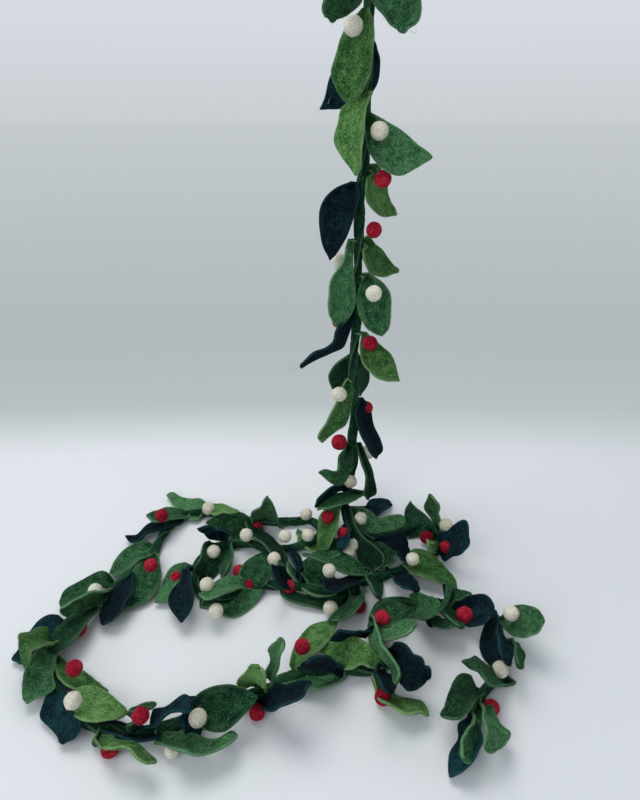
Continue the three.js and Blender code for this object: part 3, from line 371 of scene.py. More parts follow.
        [(-10.5, -4.6, 3.7), (-2.6, -10.2, 2.7), (15.7, -8.6, 2.4), (31, -5.1, 1.4), (39.8, -1.1, -0.7)],
        [(4.4, 3.7, -2.8), (22.7, 11.2, -0.9), (37.1, 12.8, -1.1), (44.3, 9.5, -0.9), (40.4, -0.3, -0.8)],
    ),
    "r08b": (
        [(-24.6, 3.3, -22.4), (0.5, 7.1, -12.7), (19.3, 7.2, -6.3), (41, 5.6, -2.1), (53.1, 3.6, -0.3)],
        [(-33.3, 3.9, -20.3), (-4.1, 8.2, -9.8), (20, 8.3, -2.5), (39.6, 6.8, 0.4), (54, 4.3, 1.5)],
    ),
    "r08c": (
        [(17.2, 3.3, -10.1), (29.1, 3.5, -8.8), (38.3, 2.2, -4.8), (39, -1.7, -1.2)],
        [(9.5, 2.1, -6.4), (20.4, 1.6, -3.1), (31.5, 1.1, -1.1), (37.5, -2.1, -0.1)],
    ),
    "r09": (
        [(-7.5, -0.6, -1), (9.4, 2.6, -3.5), (23.8, 2.4, -0.9), (33, -0.1, 2.1), (41.4, 0.5, 3.2), (47.7, 4.1, 2)],
        [(-2.4, 4.1, -7.9), (23.4, 15.7, -6.4), (38.1, 16.4, -4), (49.4, 15.6, -1.7), (51.8, 11.3, 0.8), (48.7, 5.2, 1.8)],
    ),
    "r10": (
        [(2.1, -0.1, 2.9), (29.2, -10.9, 7), (45.1, -14.3, 7.6), (56.6, -15.8, 5.2), (63.6, -14, 2.9), (70.8, -11.3, 2.8), (72.5, -4.4, 6)],
        [(-2.7, 3.6, 7.8), (10.7, 5.6, 9.1), (25.2, 4, 9.6), (38.3, 3.5, 7), (50.6, -0.3, 4), (62.7, -2.3, 3.9), (72.5, -4.4, 6)],
    ),
    "r11": (
        [(-7.3, -5.8, -3.5), (1.1, -10.5, 4.1), (9.1, -13, 9.6), (14.5, -17.4, 9.4), (21.3, -17.6, 9.1), (27.9, -12.6, 8.9), (34.6, -8.5, 7.9), (39.8, -5.4, 6.8)],
        [(-6.9, -2.5, -1.8), (1.2, -1, 4.6), (7.1, 3.2, 9.5), (16.4, 7.3, 9.6), (26.1, 5.3, 9.2), (34, 1.4, 8.4), (40.3, -3.2, 6.8)],
    ),
    "r12": (
        [(-0.6, -2.8, 2.5), (8, -6.3, 5), (22.4, -10.9, 6.3), (35.4, -12.4, 6.5), (44.7, -7.6, 4.6), (52.3, 1.1, 1.4)],
        [(0.3, 0.9, -0.4), (5.6, 7.4, 5.2), (12.7, 12.9, 6.1), (24.7, 12.6, 5.6), (38.2, 7.9, 3.6), (51.2, 1.8, 1.4)],
    ),
    "r12b": (
        [(3.9, -2.2, 5.9), (18.3, -1.7, 3.5), (28.6, -3, 1.8), (36.5, -3.2, 1.7), (40.9, -1.2, 1)],
        [(3.8, 0.4, 1.8), (26.5, 8.1, 1.9), (37.3, 9.9, 0.1), (44.2, 10.4, -0.9), (45.8, 5, -0)],
    ),
    "r13": (
        [(1.8, -4.3, -7.1), (9.4, -10.6, -6.2), (17.9, -15.1, -5.2), (26.8, -14.5, -2.9), (38.2, -10.7, -1.1), (48.4, -2.1, -0.2)],
        [(1, -1.8, -4.3), (10, 3.3, -3.7), (19.5, 4.6, -3), (28.6, 7, -0.1), (38.3, 5.7, 0.5), (48.2, 2.2, 0.2)],
    ),
    "r13b": (
        [(0.3, -2.5, 4), (8.5, -3.6, 0.7), (19.6, -4.5, 0.3), (32.3, -3.6, 1.2), (41.7, -0.7, 0.6)],
        [(1.3, 1.3, -1.2), (22.1, 10.6, -1.3), (35.4, 14, -2.4), (43.5, 10.9, -1.2), (45.1, 2.6, 0.1)],
    ),
    "r14": (
        [(0.1, 1.4, -4.2), (11.1, 0.7, -0.5), (22.3, 1.5, 2.1), (34.3, 2.6, 3.3), (47.6, 6.1, 3.8)],
        [(2.2, 5.7, -9.3), (24.9, 19.9, -2.9), (39, 21.3, 0.3), (46.8, 17.1, 1.8), (48.5, 8.1, 3.6)],
    ),
    "r15": (
        [(-3.4, -2.9, 5.5), (11, -3.3, 3.8), (25.1, -2.3, 2.9), (26.4, -5.8, 3.9), (35.1, -4.6, 2.5), (46.4, 0.9, 0.3)],
        [(1.6, 1, -0), (28.5, 8.6, 1.8), (42.2, 9.7, 1.2), (49.8, 11, 0.5), (50.9, 7, 0), (46.4, 0.9, 0.3)],
    ),
    "r15b": (
        [(2.8, -4.4, 4), (6.1, -11.9, 6), (12.9, -13.9, 7.1), (30.5, -6.9, 4.2), (40.5, -2.8, 2.5), (43.6, 0.8, 0.7)],
        [(5.2, 1.9, -1.1), (49.5, 11, 6.4), (53.2, 8.3, 3.7), (43.6, 0.8, 0.7)],
    ),
    "r16a": (
        [(2.3, -0.9, -0.4), (15.6, -11.4, 2.3), (28.8, -15.1, 4.8), (42, -14.4, 6.5), (50.6, -14.6, 5.6), (51.9, -10.1, 4.7), (48.7, -2.5, 3.3)],
        [(11, 2.5, 1.4), (25.2, 4.5, 3.9), (32.2, 9, 6.5), (40.9, 9.1, 6.1), (46.3, 4.4, 4.9), (48.7, -2, 3.3)],
    ),
    "r16b": (
        [(8.9, -0.6, 0.4), (30.1, -9.4, 4.4), (39.8, -8.3, 3), (43.3, -5.2, 0.6), (40.4, 0.3, -0.7)],
        [(13.9, 7.7, 6.3), (15, 15.3, 4.9), (25.8, 12.5, 4.2), (34.4, 6.7, 1.6), (40.1, 1, -0.7)],
    ),
    "r16c": (
        [(3.1, -1.4, 1), (9.3, -5.7, 1.8), (28.7, -3.9, 2), (43.9, 0.9, 0.4)],
        [(2.4, 3.4, -5.4), (47, 12.9, -1.1), (56.5, 9.8, -0.2), (43.9, 0.9, 0.4)],
    ),
    "r17": (
        [(6.7, 0, -2.1), (13.2, 0.6, -4.1), (21.9, 0.7, -1.5), (29.9, -1.5, 1), (35.2, -2.9, 3.1), (41.5, 0.7, 3.5), (45, 4.6, 1.9)],
        [(6.1, 3.5, -6.5), (16.3, 15.1, -6), (24.5, 17.7, -3.1), (32, 18.6, -1.6), (38.4, 17, 0.8), (41.2, 11.1, 2.4), (45, 4.6, 1.9)],
    ),
    "s01": (
        [(-1, 3.5, -2), (5.5, 0.7, -2.2), (9.7, -6.8, -2.3), (18.5, -10.5, -1.1), (28.7, -11.4, -0.6), (35, -8.4, -1.2), (39.2, -2.5, -2.7)],
        [(1, 8.7, -4.2), (11.9, 11.1, -3), (23.8, 14.8, -2), (33.2, 13.9, -1), (40.2, 9.6, -1), (40.2, -0.2, -2.7)],
    ),
    "s01b": (
        [(-2.6, -1.3, 1.8), (-12.1, -16.1, 0.6), (6.5, -13.9, 0.1), (21.3, -11.6, -4.2)],
        [(-0.1, 2.2, -4.2), (5.8, -0, -4.7), (12.7, -3.7, -3.8), (22, -10.7, -4.6)],
    ),
    "s03": (
        [(1.7, -0.6, 0.1), (8.4, -5.9, 2.3), (19.1, -9.5, 3.6), (29.4, -9.4, 4), (38.3, -6.6, 3.5), (44.3, 0.3, 1.7)],
        [(3.2, 3.1, -1.6), (16.8, 12.3, 2), (28.9, 15.7, 3.6), (39, 14.4, 3.9), (44.5, 9.2, 3.2), (45, 1.8, 1.7)],
    ),
    "s04": (
        [(-3.7, -4.5, -4.9), (16, -11.1, 0.1), (34.3, -14.2, 2.8), (45.4, -16, 2.2), (50.6, -12, 1.7), (47.4, -1.5, 1.2)],
        [(-3.7, -1, -1.9), (3.6, 2.9, 0.5), (14.9, 6.2, 2.8), (29.1, 6.3, 4), (37.6, 5.1, 2.2), (46.7, -1.6, 1.2)],
    ),
    "s04b": (
        [(7.3, -1.5, 1.9), (6.6, -7.2, 2.7), (19.7, -5.9, 3), (37.1, -2.5, 1.8), (45.4, 0.3, 0.4)],
        [(3.9, 1.7, -2.4), (38.3, 12.6, 0.4), (49.6, 11.8, 0.7), (50.9, 6.6, 0.6), (47.4, 1.6, 0.3)],
    ),
    "s05": (
        [(11, -1.8, 6.4), (21.2, -2.8, 5.5), (28, -5.2, 3.4), (35.2, -3.6, 1.3), (43.8, 0, -0)],
        [(6.6, -0.8, 4.9), (31.5, 4.2, 4), (45.5, 7.5, 1.4), (50, 5.6, -0.3), (43.8, 0, -0)],
    ),
    "s06": (
        [(-7.4, -8.8, -7.4), (8.4, -10.9, -9), (35, -16.1, -6.4), (45.3, -15.7, -3.5), (47.3, -12.2, 0.4), (53.8, -10.5, 1.5), (54.5, -6.2, 0.9)],
        [(-10, -7.7, -5.2), (-5.6, -3.6, -6.9), (4.1, -2.4, -4.1), (12.3, -0.2, -0.5), (26.6, 0.1, 3.1), (34.2, 1.5, 4.3), (46, -1.2, 2)],
    ),
    "s07": (
        [(5.2, -2.5, -1.9), (24.8, -10.5, 4.1), (37.3, -13.7, 5.3), (44.1, -11.9, 3.9), (47, -6.8, 2.5), (46.8, -1.7, 1.4)],
        [(-0.3, 1.6, 1), (-1.5, 6.8, 4), (2, 12.2, 5.5), (13.1, 11.8, 5.4), (27.1, 6.8, 3.9), (39.2, 1.5, 2.3), (46, -1.1, 1.4)],
    ),
    "s09": (
        [(1, -2, 1.6), (17, -1.9, 4.9), (22.7, -4.5, 7.7), (24.9, -10.1, 9.7), (35, -7.3, 8.2), (43.3, -2.3, 5.4), (49.1, 3.9, 3.1)],
        [(3.2, 2.8, -2.6), (30.8, 11, 6.8), (48.4, 13.9, 8.6), (51.5, 9.9, 5.2), (49.1, 3.9, 3.1)],
    ),
    "s10": (
        [(0.1, -0.5, -0.5), (17.2, 3.3, 2.5), (28.5, 2.3, 3.4), (35.8, 0.6, 3.4), (43.8, 2.7, 3.1), (51.2, 6.5, 2.6)],
        [(4.4, 2.6, -4.7), (28.8, 13.5, 0.8), (43.1, 16.9, 1.1), (53.2, 17.6, 0.7), (55.3, 14.4, 1.2), (51.2, 6.5, 2.6)],
    ),
    "s11": (
        [(5.7, -2.9, -3.6), (21.5, -14.7, -2.2), (32.1, -17.2, -2.8), (40, -16.3, -2), (45.1, -9.7, -0.4), (48.1, -0, -0)],
        [(7.2, 0.4, -0.3), (11.4, 6.2, -0.9), (21.7, 5.2, -1.6), (32.1, 5.4, -0.3), (41.7, 4.1, 0.1), (48.1, -0, -0)],
    ),
    "l01": (
        [(-3.5, -6.2, -4.8), (-1.4, -16.8, -1.6), (11.6, -19.8, -1.7), (25.1, -15.8, -0.8), (38.9, -10.3, 0.5), (52, -3.3, 1.3)],
        [(3.2, 2.4, 1.3), (15.1, 6.1, 0.9), (26.7, 3.6, 0), (37.9, 0.9, 0.6), (48.4, 1.7, 1.7), (54.6, 0.6, 1.7)],
    ),
    "l02": (
        [(0.3, -4, -5.9), (19.4, -10.7, -0.9), (33.9, -13.5, -1.1), (42.3, -10.6, -1.5), (43.9, -0.8, -0)],
        [(-1.5, 0.9, -0.1), (9.3, 5.6, 0.9), (21.5, 7.3, 1.2), (33.4, 5, 0.3), (43.1, 0.8, 0.1)],
    ),
    "l03": (
        [(3.7, -6.8, -6.9), (18.4, -14.4, 2), (31.5, -13.9, 5), (39.5, -12.4, 5.4), (48.9, -12.4, 1.9), (56.7, -7.2, 3.4)],
        [(0.7, -2.2, -4.2), (10, 4, -3.7), (21.4, 5.1, -1.3), (33.4, 4.7, 0.2), (44.8, 0.5, -2), (53, 2.7, 0.4)],
    ),
    "l04": (
        [(-1.7, -3.2, 4.3), (3.7, -11, 2.7), (24.3, -6.7, 2), (41.5, -1.9, -0.3)],
        [(5.3, 2.7, -3.2), (28, 10.3, 0.7), (39.1, 5.8, 0.5), (43.3, 0, -0.5)],
    ),
    "l05": (
        [(-0.3, -8.1, 0.6), (6.5, -14.5, 9), (16.1, -16.1, 11.8), (25.7, -13.1, 9.7), (34.4, -7.5, 8.7), (41.5, -0.9, 7)],
        [(-0.1, 1, 0), (7, 7.2, 7), (16.8, 9.1, 9.8), (28, 7.6, 9.5), (36.6, 3.4, 8.3), (41.5, 0, 7)],
    ),
    "l06": (
        [(0.5, -0.1, -0.8), (-6.3, -9.7, -1.3), (4.4, -12, -0.5), (24.7, -10.1, -2.5)],
        [(12, 2.8, -6), (20.3, -0.7, -6.4), (30, -2.1, -5.6), (31.8, -6.6, -4.2)],
    ),
    "l07": (
        [(-3.7, -14, 0), (24.3, -13.4, 2.7), (31.5, -6.2, 2.8), (41.7, -3.5, 1.7), (45.6, 0, -0)],
        [(-0.2, 13.6, 12.6), (-0.4, 11, 2.3), (23.8, 8, 3), (38.3, 4.4, 1.9), (45.6, 0, -0)],
    ),
    "l08": (
        [(3.3, -3.3, 2.8), (19.2, -4.4, 2.4), (35.7, -4.9, 4.8), (51.3, -5.9, 6), (66.6, -4, 5.6), (81.8, 3.7, 3.3)],
        [(2.1, 0.6, 0.1), (19.3, 9.6, 2.2), (41.9, 14.3, 7.3), (57.4, 13.4, 8.8), (71, 11, 8.2), (81.8, 3.7, 3.3)],
    ),
    "l11": (
        [(-5.6, -1.4, 0.2), (-4.3, -9.2, 4.5), (4, -11, 6.8), (16.5, -9.4, 6.8), (28.4, -5.2, 5.8), (36.9, 1, 3.9)],
        [(-5, 7.7, -1.9), (-2.1, 13.6, 5.4), (9.1, 13, 6.8), (23, 9.2, 6.1), (36.9, 1, 3.9)],
    ),
    "l12": (
        [(2.6, -2.9, -4.5), (22.2, -13.3, 4.5), (32.8, -16.7, 5), (41.1, -16.9, 3), (46.8, -14, 1.5), (48, -6.6, 2.6)],
        [(-0.7, -0.1, -1.3), (7.3, 2.8, 5), (17.9, 3.7, 7.6), (28.1, 2.8, 5.9), (37.2, -0.2, 3.3), (46.7, -4.1, 2.9)],
    ),
    "l13": (
        [(-5.4, 7, -4), (5.5, 5.2, -1.7), (16, -0.2, 0.4), (28.7, -0.1, 1.6), (38.3, 0.7, 2.4), (43.8, 0.5, 2.7)],
        [(-2.8, 14.2, -2.8), (7.1, 18.2, -0.5), (17.1, 24.1, 2.5), (24.8, 25.1, 3.5), (34.8, 17.3, 1.7), (43.9, 2.3, 2.7)],
    ),
    "l14": (
        [(-3.8, -6, -3.2), (-0.4, -10.3, 6.9), (10.9, -9.9, 6.9), (24.8, -9.4, 4.2), (40.8, -1.2, 1.6)],
        [(-1.4, 10.2, 6.4), (14.5, 12.2, 8.9), (30.1, 11.6, 9.5), (42.3, 9.9, 8.3), (40.8, -1.2, 1.6)],
    ),
    "l15": (
        [(-13.4, -1.9, -1.1), (25.3, -13.6, 0.9), (43.3, -12.4, 0.7), (42.8, -0.9, 0.4)],
        [(-14.8, 3.8, 6.1), (5.4, 5.7, 3), (22.1, 6.1, 2.2), (42.8, -0.9, 0.4)],
    ),
    "l16": (
        [(2.2, -4.4, -3.8), (23.2, -13.1, 2.3), (32.9, -13, 2.6), (40.2, -10.7, 1.4), (44.4, -5.8, 0.6), (46.8, -0.4, 0)],
        [(-2.3, 0.4, -0.3), (2.3, 6.9, 1.8), (11.6, 11.8, 2.9), (24.1, 9.7, 2.5), (34.9, 4.8, 1), (46, 0.4, 0)],
    ),
    "l17": (
        [(2.6, 2.2, 2.4), (28.9, -10.2, 8.2), (47, -15.3, 10.1), (57, -14.3, 9), (61.7, -10, 6.9), (63.5, -4.7, 5.2)],
        [(2.8, 6.1, 5.2), (18.9, 3.7, 7.2), (29.9, 7.2, 10.2), (39.2, 9, 10.4), (49.5, 5.3, 8.8), (63.5, -4.7, 5.2)],
    ),
    "b01": (
        [(-0.9, -4.3, -5.1), (15, -12.8, 0.8), (25.8, -13.7, 2.9), (35.6, -13, 2.7), (44, -9.7, 0.7), (45.2, 0, 0)],
        [(-2.5, -0.9, -2), (2.7, 8.3, 0.9), (12.9, 11.4, 2.8), (24.9, 11.1, 3), (35.7, 8.4, 1.3), (45.2, 0, 0)],
    ),
    "b03": (
        [(4.5, -5.5, -2.4), (25.1, -15.6, 1), (33.6, -18.5, 1.2), (46.1, -18.6, 1.1), (56.5, -13.4, 1), (64.5, -0.4, 0.9)],
        [(3.4, 1.5, 0.4), (16.2, 7.3, 1.1), (29.7, 6.4, 1.3), (46, 2, 1), (58.1, 0.5, 1.2), (64.5, -0.4, 0.9)],
    ),
    "b04": (
        [(5.2, -1.4, -1.6), (29.4, -15.8, 1.5), (43.9, -18.4, 2.6), (53.8, -17.1, 3.8), (59.4, -12.1, 3.3), (59.9, -3.7, 2.2)],
        [(4.2, 0.7, 0.5), (14.8, 4.7, 1.6), (28.1, 5.6, 2.8), (39.8, 7, 4.1), (48.8, 4.8, 3.8), (58.8, -3, 2.2)],
    ),
    "b05": (
        [(2.5, -2.6, -3.8), (9.7, -8.4, 2.5), (16.3, -8.2, 6.6), (23.2, -10.9, 5.1), (32.7, -9.9, 3.1), (41.9, -4.6, -0.1)],
        [(-2.9, 1.3, 1.1), (3.9, 8.7, 6.7), (14.4, 8.5, 9.1), (25.9, 8.5, 7.4), (36.1, 7, 4.9), (42.2, 2.8, 1)],
    ),
    "b06": (
        [(4, -4.3, 2.8), (11.5, -8.6, 2.1), (23.1, -4.7, 2.3), (34.1, -3.3, 3.2), (41.2, -4.7, 3.4), (47.2, 2, 3.1)],
        [(1, 3, -1.5), (17.4, 10.7, 6.5), (28, 15.6, 7.9), (36.9, 12.4, 7.4), (46.2, 10.8, 7.5), (49.2, 5.1, 3.9)],
    ),
    "b07": (
        [(3.8, -3.8, -4.9), (20.2, -12.4, 2.1), (32.6, -18.2, 5.7), (44.3, -18.9, 7.4), (50.1, -13.7, 6.7), (51.7, -5.7, 4.1)],
        [(3, -2.2, -3.5), (16.5, -0.6, 3.2), (26.7, 4.8, 6.9), (36.2, 6.2, 7.7), (46.8, 2.1, 6.7), (51.7, -5.7, 4.1)],
    ),
    "b08": (
        [(0.7, -0.2, 0.8), (15.2, -8.5, 5.8), (26.8, -12, 5.1), (34.8, -12.3, 2.5), (40.8, -9.5, 0.3), (43.1, -0.9, 0)],
        [(-3.8, 3.4, 3.4), (2.8, 13.3, 5.9), (11.5, 15, 6.2), (22.2, 12.1, 4), (33.6, 6.6, 0.5), (42, 0.9, 0)],
    ),
    "b09": (
        [(8, -4.2, -5.1), (39.8, -14.3, 2.6), (52.2, -14.5, 5.2), (55.7, -13.3, 4.9), (54.9, -12.6, -0.3), (53.5, -10.2, -4.6), (52, -8.2, -7.7)],
        [(-4, 1.5, 0.8), (4.2, 7.8, 3.3), (22, 7.9, 5.5), (33.6, 8.8, 6.7), (42.1, 3.1, 2.6), (48.2, -3.4, -3.2), (52, -8.2, -7.7)],
    ),
    "b10": (
        [(4.3, -6.1, -3), (18, -10.4, 2.5), (29.4, -13.5, 5.6), (38.6, -17.5, 5.1), (41.9, -12.9, 5.4), (44.5, -7.3, 5), (46.5, -1.9, 3.5)],
        [(0.4, -1.8, -1.2), (5.7, 4.8, 3.6), (16.3, 6.7, 5.6), (25, 7.2, 5.2), (35.4, 4.7, 5.4), (43.5, 1.4, 4.6), (46.5, -1.9, 3.5)],
    ),
    "b11": (
        [(1.2, 0.5, -1.7), (10.1, -3, -3.8), (22.5, -3.6, -3), (34.4, -4, -1.7), (43.5, -2.7, -0.2), (54.9, -0, 0)],
        [(-1.1, 2.6, -4.2), (12, 9.6, -5.7), (24.6, 14, -5.6), (37.4, 15.4, -5.4), (47.4, 11.3, -3), (51.1, 3.7, -0.4), (54.9, -0, 0)],
    ),
    "b11b": (
        [(-1.2, 1.8, -2.3), (0.7, -3.6, 1.8), (11, -6.6, 4.8), (21.9, -6.6, 5.8), (33.3, -3.8, 5.4), (41.6, -0.6, 4.6), (46.3, 2.8, 3.6)],
        [(0.3, 5.4, -4.9), (14.3, 13.9, 0.1), (28.4, 18.1, 4.9), (38.4, 16, 5.7), (45.4, 10.2, 4.8), (47.4, 4.2, 3.6)],
    ),
    "b12": (
        [(6, -6.9, -4.6), (19.2, -8.9, -0.5), (33.4, -11.4, 2.7), (43, -15.5, 2.3), (47.9, -13.8, 1.8), (51.1, -8.7, 1.3), (48.3, -0.6, 0.8)],
        [(2.4, -4.1, -3.1), (6.1, 0.4, 0.2), (12.2, 5.4, 2.4), (19.2, 9, 2.6), (30.1, 5.8, 1.8), (40.2, 2.4, 1.3), (48.3, -0.6, 0.8)],
    ),
    "b13": (
        [(6.1, -2.5, 6.1), (-5.9, -13.5, 4.1), (8.1, -11.6, 2.1), (18.3, -10, -0.3), (24.2, -8.8, -2.7)],
        [(10.6, 0.3, 0.8), (17.4, -2.3, -2), (21.9, -4.8, -1.6), (24.3, -6.2, -2.6), (24.3, -8.3, -2.9)],
    ),
    "b14": (
        [(0.1, -2.9, 4.9), (5.2, -5.7, 4.8), (18.9, -2.4, 4.6), (26.5, -5, 4.1), (30.5, -7.3, 3.4), (41.4, -1.2, 0.6)],
        [(2.2, 1.5, -1.1), (17.9, 7.8, 2.2), (25.8, 7.4, 3.4), (37.2, 9.6, 2.4), (47, 11, 0.7), (45.7, 3, 0.1)],
    ),
    "b14c": (
        [(-1.8, -2, 7.2), (0.8, -6.3, 7.5), (9.3, -8.4, 5.6), (20.2, -7.6, 2.9), (20.1, -7.4, -3.1)],
        [(-4.2, -1.7, 3.6), (-2.8, -3.9, -3.8), (12.1, -2.7, -6.2), (20.1, -3.9, -5.9), (20.1, -6.9, -4.1)],
    ),
    "b15": (
        [(-0.7, -8, -0), (7.6, -11.9, 4.4), (16, -13.3, 7.6), (22.8, -13.1, 8), (30.4, -11.5, 7.9), (39.2, -6.1, 6.8), (45.1, -0.3, 5)],
        [(1, 2.9, 0), (8.3, 8.8, 4.3), (16.2, 11.6, 7.5), (23.3, 12.4, 8), (31.8, 9.2, 7.8), (39, 5.2, 6.8), (44.9, 0.3, 5)],
    ),
    "b16": (
        [(1.2, 2.4, -5.9), (7, 3, -2), (14.3, 3.8, -0.3), (23.4, 6.6, -0.4), (32.3, 8.9, -0), (40.6, 9.6, 1.7), (47.1, 7.5, 5), (51.1, 11.2, 5.4)],
        [(3, 3.7, -7.4), (11.4, 14.7, -4.3), (20.7, 26.9, -0.3), (29, 28.2, -0.3), (36.5, 25.9, -0.1), (43.7, 22.1, 1.7), (48.8, 19.2, 4.2), (51.3, 12.4, 5.4)],
    ),
    "b17": (
        [(1.6, 1.1, -6.5), (11.3, 4, -2.3), (25.3, 12.5, 1.5), (32.5, 11.2, 3.8), (39.9, 8.7, 4.6), (48.2, 9.7, 4.3), (51, 12, 3.7)],
        [(8.1, 3.8, -10.1), (22.1, 16.3, -5), (30.5, 20, 0.4), (36.3, 19.3, 2.6), (44.9, 20.6, 3.1), (50.6, 18.5, 3.1), (51.8, 12.9, 3.6)],
    ),
    "b18": (
        [(-0.5, 0.6, -2), (7.1, -3, -3.2), (16.6, -5.4, -3.2), (27.8, -3.8, -2.6), (39.7, -0, -1.2), (49.1, 1.7, 1.1)],
        [(2.6, 3.5, -4.2), (15.7, 12.3, -0.8), (27.2, 15.8, 0.6), (36.3, 13.6, 0.6), (43.1, 8.7, 0.3), (49.1, 1.7, 1.1)],
    ),
    "p15b": (
        [(0.4, 0.3, 1.2), (10.5, -0.1, 2.5), (22.1, -0.8, 1.6), (37.3, 0.2, 0.9), (52.5, 2.4, -1.6)],
        [(4, 3.3, 7.9), (17.8, 5.4, 9.2), (30.1, 5.1, 9.1), (42.3, 4, 5.6), (54.4, 3.2, -0.6)],
    ),
    "p05c": (
        [(3.9, -18.3, -9.2), (14.6, -23.3, -8.9), (27, -23.1, -7.8), (41.1, -16.3, -5.9), (52.4, 0.2, -3.2)],
        [(10.2, -7.1, -7.4), (21.7, -3.8, -6.1), (35.3, -0.7, -4.7), (46.4, 2.9, -3.4), (52.8, 6.4, -0.6)],
    ),
}

# name, felt, mm along the cord, the ball's centre from the cord's centre line in mm, and its size against the usual
BERRIES = [
    ("hc1", "cream", 38, -10.9, -10.7, -1.5, 1.04),
    ("hc2", "cream", 104, 8, -23.1, 0.7, 1),
    ("hr3", "red", 136, 14.8, -7.8, -0.1, 1.04),
    ("hr4", "red", 175, 11.2, -7.1, 1.9, 1),
    ("hc5", "cream", 199, -14.4, 3.9, -1, 1.04),
    ("hc6", "cream", 222, 9.9, -36.8, 7, 1),
    ("hr7", "red", 249, -14.4, 4.2, -0.4, 0.95),
    ("hr8", "red", 266, 10.4, -25.2, 7.5, 1),
    ("hc9", "cream", 316, -14.7, -31.5, 15.2, 1),
    ("hr10", "red", 328, 10.3, 7, -3.9, 1.04),
    ("hr11", "red", 363, -12.2, -12.4, 6.5, 1.12),
    ("hc12", "cream", 377, 13.6, 6.4, -0.4, 1.04),
    ("hc13", "cream", 405, 0.2, -13.1, 7.1, 0.93),
    ("pc2", "cream", 450, 10.4, -3.6, 9.7, 0.93),
    ("pr2", "red", 454, -7.2, -17.1, 7.2, 0.92),
    ("pc13", "cream", 464, -6.5, -22.6, 6.6, 0.92),
    ("pc14", "cream", 464, -9.8, -29.4, 3.3, 0.92),
    ("rr19", "red", 533, -4.8, -17.5, 2.9, 0.93),
    ("rc17", "cream", 544, 1.5, -16, 20.1, 0.93),
    ("rr20", "red", 562, 2.4, -16.3, 10, 0.93),
    ("rc16", "cream", 599, -4.3, -12.6, 15.6, 0.87),
    ("pc12", "cream", 678, -0.5, 0.6, 18.3, 0.87),
    ("pc15", "cream", 678, 0.3, -23, 2.5, 0.87),
    ("pr6", "red", 710, -0.9, -1.7, 1, 0.87),
    ("lr5", "red", 743, -1.3, 0.6, 1, 0.85),
    ("lr4", "red", 748, -5.8, 16.9, 4.5, 0.85),
    ("lc11", "cream", 771, 3.8, -24.9, 10.5, 0.87),
    ("lc10", "cream", 786, 8.5, -15.2, 20.8, 0.87),
    ("lr7", "red", 806, -14.7, -3.2, 1, 0.87),
    ("lc8", "cream", 842, 3, -12, 8, 0.93),
    ("lc6", "cream", 871, 2.4, -3.8, 11.8, 0.93),
    ("pc9", "cream", 900, 0.8, -22.1, 7.4, 0.93),
    ("pc5", "cream", 910, -0.9, -1.4, 14.3, 0.93),
    ("pc4", "cream", 933, -2.4, -3.4, 10.1, 0.93),
    ("pr1", "red", 960, 8.7, -13.3, 19.3, 0.93),
    ("pc3", "cream", 975, 0.1, -4.8, 10.6, 0.93),
    ("lr3", "red", 1020, 0.6, -10.7, 1, 0.8),
    ("lc7", "cream", 1070, 1, -7.5, 10.4, 0.93),
    ("lr8", "red", 1112, -2.8, -15.5, 20.8, 0.93),
    ("br9", "red", 1164, 12.8, -27.1, 17.7, 0.87),
    ("bc18", "cream", 1215, -1.3, -3.7, 11.2, 0.87),
    ("br10", "red", 1241, 8.9, -9.9, 1, 0.9),
    ("br11", "red", 1291, 21.8, -11.2, 16.5, 0.87),
    ("bc19", "cream", 1323, 12.4, -12.9, 20.1, 0.87),
    ("br13", "red", 1363, 2.8, -12.3, 1, 0.84),
    ("br12", "red", 1383, 3.2, -7.4, 24.6, 0.8),
    ("bc21", "cream", 1396, 7.4, -15, 1, 0.74),
    ("bc20", "cream", 1415, 4.9, -12.2, 14.3, 0.87),
    ("br14", "red", 1452, 4.6, -12.7, 1, 0.82),
    ("rr15", "red", 1494, -4.5, 2.1, 20.9, 0.87),
    ("rc22", "cream", 1536, 0.2, 4.9, 1.9, 0.9),
    ("rr18", "red", 1536, 6.7, -21.2, 1, 0.85),
    ("rc23", "cream", 1564, 2.3, -0.9, 0.2, 0.88),
    ("pr17", "red", 1592, -12, 11.1, 0.2, 0.88),
    ("rr16", "red", 1597, 0.3, -14.3, 10, 0.87),
    ("sr21", "red", 1668, -7.2, -20, 9.2, 1),
    ("sc24", "cream", 1693, 3.1, -18.5, 24.3, 0.87),
    ("sr22", "red", 1722, -0.4, -2.5, 1, 0.85),
    ("sc25", "cream", 1740, -3, -7.6, 8.7, 0.88),
    ("sr23", "red", 1772, 6.3, -6.1, 1, 0.87),
]

